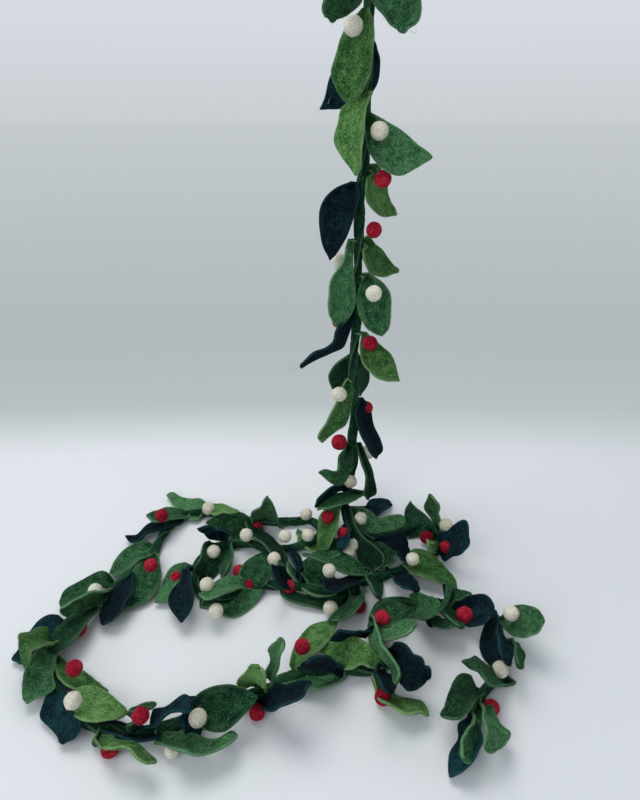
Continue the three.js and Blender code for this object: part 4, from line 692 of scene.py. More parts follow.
# loose curls of fibre at some leaves' tips: felt, points in mm
STRAYS = [
    ("mid", [(-14.6, -51, 174.8), (-17.6, -53, 173.9), (-21.5, -52.5, 173.8), (-24.6, -51.6, 171.7), (-23.1, -52.1, 169.4), (-20, -52.9, 171.4), (-20.7, -52.3, 176.1)]),
    ("cream", [(0.8, 31.7, 353.8), (-2.3, 30.2, 351.7), (-6.1, 30.9, 351.7), (-7.7, 32.6, 353.8), (-6.1, 32.9, 355.9), (-3.1, 31.3, 355.9), (-2.3, 30.2, 353.8)]),
    ("cream", [(77, -31.6, 322.9), (78.9, -33.5, 320.4), (81.2, -33.4, 317.8), (81.1, -31.7, 315.1), (78.4, -31, 315), (76.6, -32.2, 317.1)]),
    ("cream", [(6, 25.6, 357.1), (7.5, 24, 361.1), (9.7, 24.5, 363.8), (11.3, 26.4, 361.9), (9.8, 26.8, 358.5)]),
    ("mid", [(-188.3, -211.4, 18.6), (-189.7, -211.1, 21.7), (-191.1, -208.8, 23.5), (-191, -206.2, 23.1), (-189.8, -206.9, 21.3)]),
    ("mid", [(56.7, -38.7, 397.5), (59.1, -40.3, 395.7), (61, -40, 396.8), (59.9, -38.2, 398.7)]),
    ("mid", [(74, -232.2, 23.3), (71.4, -233.2, 23.8), (70.5, -231.4, 24.1), (72.1, -229.2, 23.8)]),
]

# the leaves and berries that the solid model holds too
IN_SOLIDS = set(
    "b01 b03 b04 b10 b11b b12 b15 bc19 bc20 br11 br9 h02 h03 h04 h05 h06 h07 h08 h10 h12 h13 h14 h16 "
    "h19 h24 hc2 hc6 hc9 hr4 hr8 l01 l05 l07 l13 l16 l17 lc11 p08 p20 r01 r02 r05 r07 r11 r12 r15 "
    "r16a r17 rc16 rr15 s03 s04 s06 s07 s09 s11 sc24 sr21 "
    .split()
)

# what single leaves do beside the common shape: a lighter or darker piece of felt
SHAPES = {
    "p10": {"tone": -0.13},
    "p22": {"tone": -0.04},
    "p16": {"tone": -0.02},
    "p02": {"tone": -0.06},
    "h18": {"tone": -0.07},
    "p21": {"tone": -0.08},
    "p12": {"tone": -0.06},
    "b07": {"tone": -0.07},
    "r02": {"tone": -0.05},
    "p11": {"tone": -0.12},
    "p17": {"tone": -0.10},
    "h08": {"tone": -0.06},
    "h20": {"tone": -0.06},
    "l03": {"tone": -0.06},
    "r13b": {"tone": -0.07},
    "b04": {"tone": -0.07},
    "s04": {"tone": -0.05},
    "r16c": {"tone": -0.06},
    "p19": {"tone": -0.05},
    "b12": {"tone": 0.04},
    "b09": {"tone": -0.07},
    "b11": {"tone": -0.05},
    "b11b": {"tone": 0.03},
    "h16": {"tone": -0.03},
    "h13": {"tone": -0.04},
    "h19": {"tone": -0.03},
    "h22": {"tone": 0.03},
    "l12": {"tone": 0.05},
    "l16": {"tone": 0.03},
    "s09": {"tone": 0.03},
    "r09": {"tone": 0.05},
    "p08": {"tone": 0.05},
    "r10": {"tone": 0.06},
    "b10": {"tone": 0.03},
    "h06": {"tone": 0.03},
    "b03": {"tone": -0.04},
    "p18b": {"tone": 0.03},
    "l02": {"tone": -0.03},
    "r17": {"tone": 0.04},
    "p05": {"tone": 0.03},
    "s11": {"tone": 0.08},
}


# ---------------------------------------------------------------- small helpers
def unit(v):
    v = np.asarray(v, float)
    return v / (np.linalg.norm(v) + 1e-12)


def units(a):
    return a / (np.linalg.norm(a, axis=-1, keepdims=True) + 1e-12)


def make_mesh(name, points_mm, faces, material, values=None, smooth=True):
    """points in mm in the lying frame; faces as an (n, 4) or (n, 3) array or a list of both."""
    mesh = bpy.data.meshes.new(name)
    points = metres(points_mm)
    quads = [np.asarray(f, dtype=np.int32) for f in (faces if isinstance(faces, list) else [faces]) if len(f)]
    loops = np.concatenate([f.ravel() for f in quads])
    sizes = np.concatenate([np.full(len(f), f.shape[1], dtype=np.int32) for f in quads])
    starts = np.concatenate([[0], np.cumsum(sizes)[:-1]]).astype(np.int32)
    mesh.vertices.add(len(points))
    mesh.vertices.foreach_set("co", points.astype(np.float32).ravel())
    mesh.loops.add(len(loops))
    mesh.loops.foreach_set("vertex_index", loops.astype(np.int32))
    mesh.polygons.add(len(sizes))
    mesh.polygons.foreach_set("loop_start", starts)
    mesh.update(calc_edges=True)
    mesh.polygons.foreach_set("use_smooth", np.full(len(sizes), smooth))
    for key, v in (values or {}).items():
        layer = mesh.attributes.new(key, "FLOAT", "POINT")
        layer.data.foreach_set("value", np.asarray(v, dtype=np.float32).ravel())
    mesh.update()
    ob = bpy.data.objects.new(name, mesh)
    bpy.context.collection.objects.link(ob)
    mesh.materials.append(material)
    return ob


# ---------------------------------------------------------------- the camera
CAMERA_MM = (0.0, -480.0, 346.0)
camera_data = bpy.data.cameras.new("camera")
camera_data.sensor_fit = "AUTO"
camera_data.sensor_width = 36.0
camera_data.lens = 27.0
camera_data.clip_start, camera_data.clip_end = 0.01, 200
camera = bpy.data.objects.new("camera", camera_data)
camera.location = metres(CAMERA_MM)
camera.rotation_euler = (math.radians(90 - 25), 0, 0)
bpy.context.collection.objects.link(camera)
bpy.context.scene.camera = camera


# ---------------------------------------------------------------- the cord's centre line
def smooth_line(P, per=12):
    """Centripetal Catmull-Rom through P."""
    P = np.asarray(P, float)
    out = []
    n = len(P)
    for i in range(n - 1):
        p0 = P[i - 1] if i > 0 else 2 * P[0] - P[1]
        p1, p2 = P[i], P[i + 1]
        p3 = P[i + 2] if i + 2 < n else 2 * P[-1] - P[-2]
        d0, d1, d2 = (np.linalg.norm(b - a) ** 0.5 for a, b in ((p0, p1), (p1, p2), (p2, p3)))
        m1 = ((p1 - p0) / d0 - (p2 - p0) / (d0 + d1) + (p2 - p1) / d1) * d1
        m2 = ((p2 - p1) / d1 - (p3 - p1) / (d1 + d2) + (p3 - p2) / d2) * d1
        for k in range(per):
            t = k / per
            out.append(
                (2 * t**3 - 3 * t**2 + 1) * p1 + (t**3 - 2 * t**2 + t) * m1
                + (-2 * t**3 + 3 * t**2) * p2 + (t**3 - t**2) * m2
            )
    out.append(P[-1])
    return np.array(out)


LINE = smooth_line(ROUTE)
RUN = np.concatenate([[0], np.cumsum(np.linalg.norm(np.diff(LINE, axis=0), axis=1))])
CORD_LENGTH = float(RUN[-1])


def cord_at(s):
    def at(x):
        x = min(max(x, 0), CORD_LENGTH)
        return np.array([np.interp(x, RUN, LINE[:, k]) for k in range(3)])

    return at(s), unit(at(s + 2) - at(s - 2))


# ---------------------------------------------------------------- felt
def rgb(r, g, b):
    """A colour from its 0 to 255 screen values."""
    def lin(c):
        c /= 255
        return c / 12.92 if c <= 0.04045 else ((c + 0.055) / 1.055) ** 2.4

    return (lin(r), lin(g), lin(b), 1.0)


def felt(name, deep, body, pale, edge, sheen=0.22, fleck=1.0, mottle=620.0, bump=0.8):
    """Pressed wool: two wools blended in small swirled flecks, larger soft patches, a fibrous nap, a painted highlight
    along the cut edge and a tone attribute that carries painted shade.
    """
    mat = bpy.data.materials.new(name)
    mat.use_nodes = True
    nt = mat.node_tree
    nt.nodes.clear()
    out = nt.nodes.new("ShaderNodeOutputMaterial")
    bsdf = nt.nodes.new("ShaderNodeBsdfPrincipled")
    nt.links.new(bsdf.outputs[0], out.inputs[0])
    place = nt.nodes.new("ShaderNodeTexCoord")

    def noise(scale, detail, rough, swirl):
        n = nt.nodes.new("ShaderNodeTexNoise")
        n.inputs["Scale"].default_value = scale
        n.inputs["Detail"].default_value = detail
        n.inputs["Roughness"].default_value = rough
        n.inputs["Distortion"].default_value = swirl
        nt.links.new(place.outputs["Object"], n.inputs["Vector"])
        return n.outputs["Fac"]

    def math_node(kind, a, b, clamp=False):
        n = nt.nodes.new("ShaderNodeMath")
        n.operation = kind
        n.use_clamp = clamp
        for k, v in enumerate((a, b)):
            if isinstance(v, (int, float)):
                n.inputs[k].default_value = v
            else:
                nt.links.new(v, n.inputs[k])
        return n.outputs[0]

    flecks = noise(mottle, 5.0, 0.62, 2.2)
    patches = noise(150.0, 3.0, 0.55, 0.4)
    fibres = noise(3400.0, 3.0, 0.7, 2.5)
    mixed = math_node("ADD", math_node("MULTIPLY", flecks, fleck), math_node("MULTIPLY", patches, 0.28))
    mixed = math_node("ADD", mixed, math_node("MULTIPLY", fibres, 0.55))
    mixed = math_node("SUBTRACT", mixed, (fleck + 0.83) / 2 - 0.5)
    # tone attribute: a shift per piece, plus painted shade in folds and grooves and a lighter tone on loose hairs as
    # painted highlight
    tone = nt.nodes.new("ShaderNodeAttribute")
    tone.attribute_name = "tone"
    mixed = math_node("ADD", mixed, tone.outputs["Fac"])
    ramp = nt.nodes.new("ShaderNodeValToRGB")
    ramp.color_ramp.interpolation = "EASE"
    e = ramp.color_ramp.elements
    e[0].position, e[0].color = 0.40, deep
    e[1].position, e[1].color = 0.615, pale
    m = e.new(0.5)
    m.color = body
    nt.links.new(mixed, ramp.inputs[0])
    # painted highlight: where the rim attribute is set, the colour is drawn towards the pale edge colour in fibre
    # streaks
    rim = nt.nodes.new("ShaderNodeAttribute")
    rim.attribute_name = "rim"
    rim_highlight = nt.nodes.new("ShaderNodeMix")
    rim_highlight.data_type = "RGBA"
    strength = math_node("MULTIPLY", rim.outputs["Fac"], math_node("SUBTRACT", math_node("MULTIPLY", fibres, 2.6), 0.62), True)
    nt.links.new(strength, rim_highlight.inputs["Factor"])
    nt.links.new(ramp.outputs[0], rim_highlight.inputs["A"])
    rim_highlight.inputs["B"].default_value = edge
    nt.links.new(rim_highlight.outputs["Result"], bsdf.inputs["Base Color"])
    height = math_node("ADD", math_node("MULTIPLY", fibres, 0.6), math_node("MULTIPLY", flecks, 0.7))
    b = nt.nodes.new("ShaderNodeBump")
    b.inputs["Strength"].default_value = bump
    b.inputs["Distance"].default_value = 0.0007
    nt.links.new(height, b.inputs["Height"])
    nt.links.new(b.outputs[0], bsdf.inputs["Normal"])
    bsdf.inputs["Roughness"].default_value = 0.95
    bsdf.inputs["Specular IOR Level"].default_value = 0.12
    bsdf.inputs["Sheen Weight"].default_value = sheen
    bsdf.inputs["Sheen Roughness"].default_value = 0.45
    bsdf.inputs["Sheen Tint"].default_value = tuple(min(1.0, c * 1.5 + 0.02) for c in pale[:3]) + (1.0,)
    return mat


# the last colour of each felt is the painted highlight for its cut edges and loose hairs
FELTS = {
    "light": felt("light_felt", rgb(22, 62, 28), rgb(66, 114, 60), rgb(120, 162, 94), rgb(140, 176, 122)),
    "mid": felt("mid_felt", rgb(8, 42, 26), rgb(40, 87, 54), rgb(92, 142, 94), rgb(118, 162, 120)),
    "dark": felt("dark_felt", rgb(1, 24, 18), rgb(20, 62, 40), rgb(68, 116, 74), rgb(90, 134, 96)),
    "navy": felt("navy_felt", rgb(0, 5, 14), rgb(2, 25, 35), rgb(24, 68, 74), rgb(36, 80, 84), sheen=0.07),
    "red": felt("red_felt", rgb(104, 6, 28), rgb(160, 22, 44), rgb(198, 52, 68), rgb(190, 50, 64), sheen=0.15),
    "cream": felt("cream_felt", rgb(196, 190, 166), rgb(226, 222, 202), rgb(242, 239, 224), rgb(236, 232, 216), sheen=0.12),
    "cord": felt("cord_felt", rgb(4, 30, 22), rgb(16, 54, 36), rgb(44, 90, 58), rgb(92, 138, 102)),
}


# ---------------------------------------------------------------- the cord: a felt strip rolled lengthwise
def make_cord():
    stations, around = 1500, 26
    rng = np.random.default_rng(7)
    s = np.linspace(0, CORD_LENGTH, stations)
    centre = np.stack([np.interp(s, RUN, LINE[:, k]) for k in range(3)], 1)
    # the resampled line is eased so that its facets don't show
    for _ in range(6):
        centre[1:-1] = 0.25 * centre[:-2] + 0.5 * centre[1:-1] + 0.25 * centre[2:]
    along = units(np.gradient(centre, axis=0))
    up = np.zeros((stations, 3))
    u = np.array([0.0, -1.0, 0.0])
    for i in range(stations):
        u = unit(u - (u @ along[i]) * along[i])
        up[i] = u
    side = np.cross(along, up)
    turn = 2 * np.pi * s / 95 + 0.7 * np.sin(s / 37) + 0.4 * np.sin(s / 13.0 + 1)
    theta = np.linspace(0, 2 * np.pi, around, endpoint=False)
    a = theta[None] + 0 * s[:, None]
    local = a - turn[:, None]
    wrap = (local + np.pi) % (2 * np.pi) - np.pi
    flat = 1 + 0.13 * np.cos(2 * local) + 0.03 * np.sin(3 * local + s[:, None] / 21)
    groove = 0.32 * np.exp(-((wrap / 0.20) ** 2))
    lip = 0.15 * np.exp(-(((wrap - 0.46) / 0.22) ** 2))
    second = (local + 2.2 + 0.6 * np.sin(s[:, None] / 29) + np.pi) % (2 * np.pi) - np.pi
    groove = groove + 0.2 * np.exp(-((second / 0.24) ** 2)) * (0.6 + 0.4 * np.sin(s[:, None] / 17))
    crease = 0.10 * np.maximum(0, np.sin(s[:, None] / 2.9 + 2.2 * np.sin(s[:, None] / 23) + 1.5 * np.cos(a))) ** 6
    lumps = sum(
        k * np.sin(s[:, None] / w + f * a + p)
        for k, w, f, p in zip(rng.uniform(0.008, 0.02, 8), rng.uniform(2.5, 9, 8), rng.integers(1, 5, 8), rng.uniform(0, 6, 8))
    )
    r = CORD_RADIUS * (flat - groove - crease + lip + lumps)
    p = centre[:, None] + r[..., None] * (np.cos(a)[..., None] * up[:, None] + np.sin(a)[..., None] * side[:, None])
    p[..., 2] = np.maximum(p[..., 2], 0.15)
    # painted highlight along the rolled lip and beside the second fold
    rim = 0.9 * np.exp(-(((wrap - 0.40) / 0.16) ** 2)) + 0 * r
    rim = rim + 0.6 * np.exp(-(((second - 0.36) / 0.14) ** 2))
    # painted shade in both grooves, and a slow drift of tone along the cord
    tone = -0.12 * np.exp(-((wrap / 0.25) ** 2)) - 0.1 * np.exp(-((second / 0.25) ** 2)) + 0.04 * np.sin(s[:, None] / 45)
    i, k = np.meshgrid(np.arange(stations - 1), np.arange(around), indexing="ij")
    k2 = (k + 1) % around
    quads = np.stack([i * around + k, i * around + k2, (i + 1) * around + k2, (i + 1) * around + k], -1).reshape(-1, 4)
    points = p.reshape(-1, 3)
    n = len(points)
    points = np.concatenate([points, centre[:1] - along[:1] * 0.2, centre[-1:] + along[-1:] * 1.2])
    first = np.stack([np.full(around, n), np.roll(np.arange(around), -1), np.arange(around)], -1)
    base = (stations - 1) * around
    last = np.stack([np.full(around, n + 1), base + np.arange(around), base + np.roll(np.arange(around), -1)], -1)
    grow = lambda v, x: np.concatenate([v.ravel(), [x, x]])
    ob = make_mesh("garland_cord", points, [quads, first, last], FELTS["cord"], {"rim": grow(rim, 0.6), "tone": grow(tone, 0.0)})
    return ob, centre


cord, cord_centre = make_cord()
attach(cord, "root")
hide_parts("cord")

# the hanging loop: the cord's top doubled back on itself
LOOP_BAR, LOOP_WIDE, LOOP_HIGH = 2.2, 14.0, 22.0
top = np.array(ROUTE[0], float)
loop_centre = top + np.array([0, 0, 0.4 + 2 * LOOP_BAR + LOOP_HIGH / 2])


def make_loop():
    half = LOOP_WIDE / 2 + LOOP_BAR
    straight = (LOOP_HIGH - LOOP_WIDE) / 2
    ring = []
    for k in range(33):
        a = math.pi * k / 32
        ring.append((half * math.cos(a), straight + half * math.sin(a)))
    for k in range(1, 8):
        ring.append((-half, straight - 2 * straight * k / 8))
    for k in range(33):
        a = math.pi + math.pi * k / 32
        ring.append((half * math.cos(a), -straight + half * math.sin(a)))
    for k in range(1, 8):
        ring.append((half, -straight + 2 * straight * k / 8))
    ring = np.array(ring)
    n, around = len(ring), 16
    along = units(np.roll(ring, -1, 0) - np.roll(ring, 1, 0))
    outward = np.stack([along[:, 1], -along[:, 0]], 1)
    s = np.arange(n) / n
    theta = np.linspace(0, 2 * np.pi, around, endpoint=False)
    local = theta[None] - 4 * np.pi * s[:, None]
    wrap = (local + np.pi) % (2 * np.pi) - np.pi
    r = LOOP_BAR * (1 + 0.06 * np.cos(2 * local) - 0.2 * np.exp(-((wrap / 0.3) ** 2)))
    x = ring[:, None, 0] + r * np.cos(theta)[None] * outward[:, None, 0]
    z = ring[:, None, 1] + r * np.cos(theta)[None] * outward[:, None, 1]
    y = r * np.sin(theta)[None]
    points = np.stack([x, y, z], -1).reshape(-1, 3) + loop_centre
    i, k = np.meshgrid(np.arange(n), np.arange(around), indexing="ij")
    i2, k2 = (i + 1) % n, (k + 1) % around
    quads = np.stack([i * around + k, i2 * around + k, i2 * around + k2, i * around + k2], -1).reshape(-1, 4)
    # painted highlight along the rolled lip
    rim = 0.7 * np.exp(-(((wrap - 0.4) / 0.25) ** 2))
    return make_mesh("garland_loop", points, quads, FELTS["cord"], {"rim": rim, "tone": 0 * rim})


loop = make_loop()
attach(loop, "root")
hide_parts("hang_loop")


# ---------------------------------------------------------------- leaves
def leaf_axes(heading, rise, turn):
    h, r, t = (math.radians(v) for v in (heading, rise, turn))
    along = np.array([math.cos(r) * math.cos(h), math.cos(r) * math.sin(h), math.sin(r)])
    level = unit(np.cross(along, (0, 0, 1)))
    up = np.cross(level, along)
    across = math.cos(t) * level + math.sin(t) * up
    face = np.cross(across, along)
    return along, across, face


def leaf_grid(row, rng, more):
    """The leaf's middle surface, its half thickness and where its cut edge is, as grids."""
    name, colour, at, heading, rise, turn, long, wide, sway, bow, cup, side = row
    along, across, face = leaf_axes(heading, rise, turn)
    point, run = cord_at(at)
    lean = along + 0.6 * side * face
    out = unit(lean - (lean @ run) * run)
    base = point + 5.0 * out
    blade = more.get("stations", 34)
    # stations: three for the sewn neck, then the blade, closer together at both ends
    t = np.linspace(0, 1, blade)
    u = 0.5 - 0.5 * np.cos(np.pi * t)
    u = 0.55 * u + 0.45 * t
    neck = np.array([-1.0, -0.6, -0.25])
    U = np.concatenate([neck, u])
    p1 = more.get("p1", rng.uniform(0.54, 0.70))
    p2 = more.get("p2", rng.uniform(0.66, 0.86))
    um = p1 / (p1 + p2)
    fm = um**p1 * (1 - um) ** p2
    uc = np.clip(U, 0, 1)
    half = wide / 2 * uc**p1 * (1 - uc) ** p2 / fm
    # the sides don't match exactly
    uneven = rng.uniform(-0.07, 0.07)
    wave = 0.035 * np.sin(2 * np.pi * (uc * rng.uniform(1.2, 2.2) + rng.uniform(0, 1)))
    least = np.where(uc < 0.3, 2.5, 1.1)
    half = np.sqrt(half**2 + least**2 * np.where(uc > 0.5, 0.6, 1.0))
    arch = 4 * uc * (1 - uc)
    mid = base + along * (long * uc)[:, None] + (face * bow + across * sway) * arch[:, None]
    sewn = point + 2.2 * out
    k = np.clip(-U, 0, 1)[:, None]
    cut = name in EDGES
    if cut:
        ends = []
        for P in EDGES[name]:
            P = smooth_line(P, 8)
            d = np.concatenate([[0], np.cumsum(np.linalg.norm(np.diff(P, axis=0), axis=1))])
            q = np.stack([np.interp(uc, d / d[-1], P[:, j]) for j in range(3)], 1)
            ends.append(base + q @ np.stack([along, across, face]))
        span = ends[1] - ends[0]
        half = np.sqrt((np.linalg.norm(span, axis=1) / 2) ** 2 + np.where(uc > 0.5, 0.8, 2.2) ** 2)
        half = half * (1 - k[:, 0]) + 2.4 * k[:, 0]
        mid = (ends[0] + ends[1]) / 2
        blend = np.clip((1 - uc) * 8, 0, 1)[:, None] * np.clip(uc * 8, 0, 1)[:, None]
        cut_across = units(units(span) * (0.04 + blend) + across * (1.04 - blend))
    mid = mid * (1 - k) + sewn * k
    # tips lift or droop a little
    curl = more.get("curl", rng.normal(0, 1.1))
    mid = mid + face * ((0.4 if cut else 1.0) * curl * np.clip((uc - 0.6) / 0.4, 0, 1) ** 2)[:, None]
    # twist along the blade
    twist = math.radians(more.get("twist", rng.normal(0, 7))) * (uc - 0.35)
    acrosses = across * np.cos(twist)[:, None] + face * np.sin(twist)[:, None]
    faces = -across * np.sin(twist)[:, None] + face * np.cos(twist)[:, None]
    if cut:
        acrosses = cut_across
        faces = units(face - acrosses * (acrosses @ face)[:, None])
        uneven, wave = 0.0, wave * 0.3
    fold = 0.6 * np.minimum(1.1, cup * (1 + 1.6 * (1 - uc) ** 3)) + more.get("pinch", 0.75) * np.exp(-((uc / 0.11) ** 2))
    fold = fold + more.get("tipfold", 0.0) * np.clip((uc - 0.55) / 0.45, 0, 1) ** 2
    fold = np.minimum(fold, 1.35)
    # positions across: close together round the two cut edges
    r = np.minimum(FELT / 2, half * 0.8)
    edge = np.radians([0, 28, 55, 90])
    inner = np.linspace(-1, 1, 13)[1:-1]
    # E: how much painted highlight each row across gets, most on the rounded edge
    V, T, E = [], [], []
    for a in edge:
        V.append(-((half - r) + r * np.cos(a)) / half)
        T.append(np.full(len(half), np.sin(a)))
        E.append(np.full(len(half), 1 - np.sin(a) * 0.9))
    for x in inner:
        V.append(x * (half - r) / half)
        T.append(np.ones(len(half)))
        E.append(np.zeros(len(half)))
    for a in edge[::-1]:
        V.append(((half - r) + r * np.cos(a)) / half)
        T.append(np.full(len(half), np.sin(a)))
        E.append(np.full(len(half), 1 - np.sin(a) * 0.9))
    # painted highlight: a broken pale streak on the row just inside each edge
    for s, k2 in ((-1, 4), (1, -5)):
        pale = np.clip(0.5 + 0.75 * np.sin(2 * np.pi * (uc * rng.uniform(0.8, 2.0) + rng.uniform(0, 1))), 0, 1)
        E[k2] = 0.34 * pale
    V, T, E = (np.stack(x, 1) for x in (V, T, E))
    h = half[:, None] * (1 + uneven * V) * (1 + wave[:, None] * np.sign(V) * np.abs(V))
    f = fold[:, None]
    # the midrib is a soft fold, and the rims ripple
    depth = h * np.sqrt(np.abs(V) ** 2.4 + 0.004) * np.sin(f)
    ripple = np.zeros_like(V)
    for s in (-1, 1):
        amp = more.get("ripple", rng.uniform(0.3, 1.3))
        ph, k2 = rng.uniform(0, 1), rng.uniform(1.0, 2.3)
        w = amp * np.sin(2 * np.pi * (uc * k2 + ph)) * np.clip(uc * 6, 0, 1) * np.clip((1 - uc) * 5, 0, 1)
        ripple += np.where(np.sign(V) == s, w[:, None] * np.abs(V) ** 2, 0)
    for lo, hi, s, lift in more.get("roll", ()):  # a stretch of rim turned over
        g = np.exp(-(((uc - (lo + hi) / 2) / ((hi - lo) / 2)) ** 4))
        ripple += np.where(np.sign(V) == s, lift * g[:, None] * np.abs(V) ** 3, 0)
    if cut:  # the edges stay where they are, and the middle is drawn back
        depth = -h * (1 - np.abs(V) ** 1.2) * np.sin(f)
    S = (
        mid[:, None]
        + acrosses[:, None] * (h * V * (1 if cut else np.cos(f)))[..., None]
        + faces[:, None] * (depth + ripple)[..., None]
    )
    ends = np.clip((1 - uc) * long / 1.6, 0, 1)
    thin = np.sqrt(np.clip(1 - (1 - ends) ** 2, 0.06, 1)) * np.where(U < -0.9, 0.7, 1.0)
    return S, FELT / 2 * T * thin[:, None], E, uc, V, along, acrosses, faces


def leaf_piece(row, seed, more):
    rng = np.random.default_rng(seed)
    S, thick, rimness, u, V, along, acrosses, faces = leaf_grid(row, rng, more)
    nu, nv = V.shape
    # a cheap fine surface: small lumps in the felt
    du = np.gradient(S, axis=0)
    dv = np.gradient(S, axis=1)
    N = units(np.cross(du, dv))
    lumps = np.zeros((nu, nv))
    for _ in range(5):
        w = rng.uniform(0.25, 0.7, 2)
        lumps += rng.uniform(0.08, 0.24) * np.sin(S @ unit(rng.normal(size=3)) * w[0] + rng.uniform(0, 6))
    S = S + N * (lumps * (1 - rimness * 0.5))[..., None]
    upper, lower = S + N * thick[..., None], S - N * thick[..., None]
    # what would go through the surface lies flat on it, one thickness of felt
    for a, b in ((upper, lower), (lower, upper)):
        up = a[..., 2] >= b[..., 2]
        a[..., 2] = np.where(up, np.maximum(a[..., 2], 0.15 + 1.7 * thick), np.maximum(a[..., 2], 0.15))
    same = thick < 1e-6
    mean = (upper + lower) / 2
    upper[same], lower[same] = mean[same], mean[same]
    top_id = np.arange(nu * nv).reshape(nu, nv)
    low_id = np.full((nu, nv), -1)
    low_id[:, 1:-1] = nu * nv + np.arange(nu * (nv - 2)).reshape(nu, nv - 2)
    low_id[:, 0], low_id[:, -1] = top_id[:, 0], top_id[:, -1]
    points = np.concatenate([upper.reshape(-1, 3), lower[:, 1:-1].reshape(-1, 3)])
    a, b, c, d = top_id[:-1, :-1], top_id[1:, :-1], top_id[1:, 1:], top_id[:-1, 1:]
    tops = np.stack([a, b, c, d], -1).reshape(-1, 4)
    a, b, c, d = low_id[:-1, :-1], low_id[:-1, 1:], low_id[1:, 1:], low_id[1:, :-1]
    lows = np.stack([a, b, c, d], -1).reshape(-1, 4)
    caps, tris = [], []
    for i, flip in ((0, False), (nu - 1, True)):
        for k in range(nv - 1):
            q = [top_id[i, k], top_id[i, k + 1], low_id[i, k + 1], low_id[i, k]]
            q = list(dict.fromkeys(q))
            if flip:
                q = q[::-1]
            (caps if len(q) == 4 else tris).append(q)
    rim = np.concatenate([rimness.ravel(), rimness[:, 1:-1].ravel()])
    level = more.get("tone", rng.normal(0, 0.035))
    # painted shade: darker in the fold at the base and in a band just inside each edge
    tone = level - 0.12 * np.exp(-((u / 0.12) ** 2))[:, None] - 0.05 * np.exp(-(((np.abs(V) - 0.74) / 0.12) ** 2))
    tone = np.concatenate([tone.ravel(), tone[:, 1:-1].ravel()])
    grown = [tops, lows, np.array(caps)]
    if tris:
        grown.append(np.array(tris))
    ob = make_mesh("leaf_" + row[0] + "_felt", points, grown, FELTS[row[1]], {"rim": rim, "tone": tone})
    return ob, S, N, thick


rims = []  # (felt, edge points, outward directions, normals) for the loose fibres
for number, row in enumerate(LEAVES):
    name, colour, at, heading, rise, turn, long, wide, sway, bow, cup, side = row
    ob, S, N, thick = leaf_piece(row, 100 + number, SHAPES.get(name, {}))
    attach(ob, "root")
    if name in IN_SOLIDS:
        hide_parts("leaf_" + name)
    hung = cord_at(at)[0][2] > 40
    for k, s in ((0, -1), (-1, 1)):
        rims.append((colour, S[3:, k], units(S[3:, k] - S[3:, k + (2 if k == 0 else -2)]), N[3:, k]))
    rims.append((colour + "*", S[4:-1, 4:-4].reshape(-1, 3), None, N[4:-1, 4:-4].reshape(-1, 3)))


# ---------------------------------------------------------------- berries
def ball(name, centre, colour, seed, size):
    import bmesh

    rng = np.random.default_rng(seed)
    bm = bmesh.new()
    bmesh.ops.create_icosphere(bm, subdivisions=4, radius=1.0)
    d = np.array([v.co[:] for v in bm.verts])
    faces = np.array([[v.index for v in f.verts] for f in bm.faces])
    bm.free()
    r = np.ones(len(d))
    for _ in range(7):
        r += rng.uniform(0.004, 0.011) * np.sin(d @ (unit(rng.normal(size=3)) * rng.uniform(2, 9)) + rng.uniform(0, 6))
    squash = 1 + rng.uniform(-0.035, 0.035, 3)
    p = d * r[:, None] * squash * BERRY * size / 2 + centre
    p[:, 2] = np.maximum(p[:, 2], 0.15)
    tone = np.full(len(d), rng.normal(0, 0.03))
    ob = make_mesh(name, p, faces, FELTS[colour], {"rim": np.zeros(len(d)), "tone": tone})
    return ob, p, d


for number, (name, colour, at, dx, dy, dz, size) in enumerate(BERRIES):
    centre = cord_at(at)[0] + np.array([dx, dy, dz])
    ob, p, d = ball("berry_" + name + "_ball", centre, colour, 900 + number, size)
    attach(ob, "root")
    if name in IN_SOLIDS:
        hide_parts("berry_" + name)
    rims.append((colour, p, d, d))


# ---------------------------------------------------------------- loose surface fibres
def fibres(name, colour, starts, directions, lengths, bends, radius, steps=2):
    """Thin three-sided hairs, each bent to one side, joined in one piece."""
    n = len(starts)
    t = np.linspace(0, 1, steps + 1)
    centre = (
        starts[:, None]
        + directions[:, None] * (lengths[:, None] * t)[..., None]
        + bends[:, None] * (lengths[:, None] * t**2)[..., None]
    )
    centre[..., 2] = np.maximum(centre[..., 2], 0.2)
    along = units(np.gradient(centre, axis=1))
    a = units(np.cross(along, along[..., [1, 2, 0]] + 0.3))
    b = np.cross(along, a)
    w = radius * (1 - 0.55 * t)
    ring = np.stack([a * math.cos(x) + b * math.sin(x) for x in (0, 2.094, 4.189)], 2)
    p = centre[:, :, None] + ring * w[None, :, None, None]
    base = np.arange(n)[:, None, None] * (steps + 1) * 3
    i = np.arange(steps)[None, :, None] * 3
    k = np.arange(3)[None, None]
    k2 = (k + 1) % 3
    quads = np.stack([base + i + k, base + i + k2, base + i + 3 + k2, base + i + 3 + k], -1).reshape(-1, 4)
    m = len(p.reshape(-1, 3))
    # painted highlight: the hairs carry part of the pale edge colour and a lighter tone
    ob = make_mesh(name, p.reshape(-1, 3), quads, FELTS[colour], {"rim": np.full(m, 0.35), "tone": np.full(m, 0.08)})
    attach(ob, "root")
    return ob


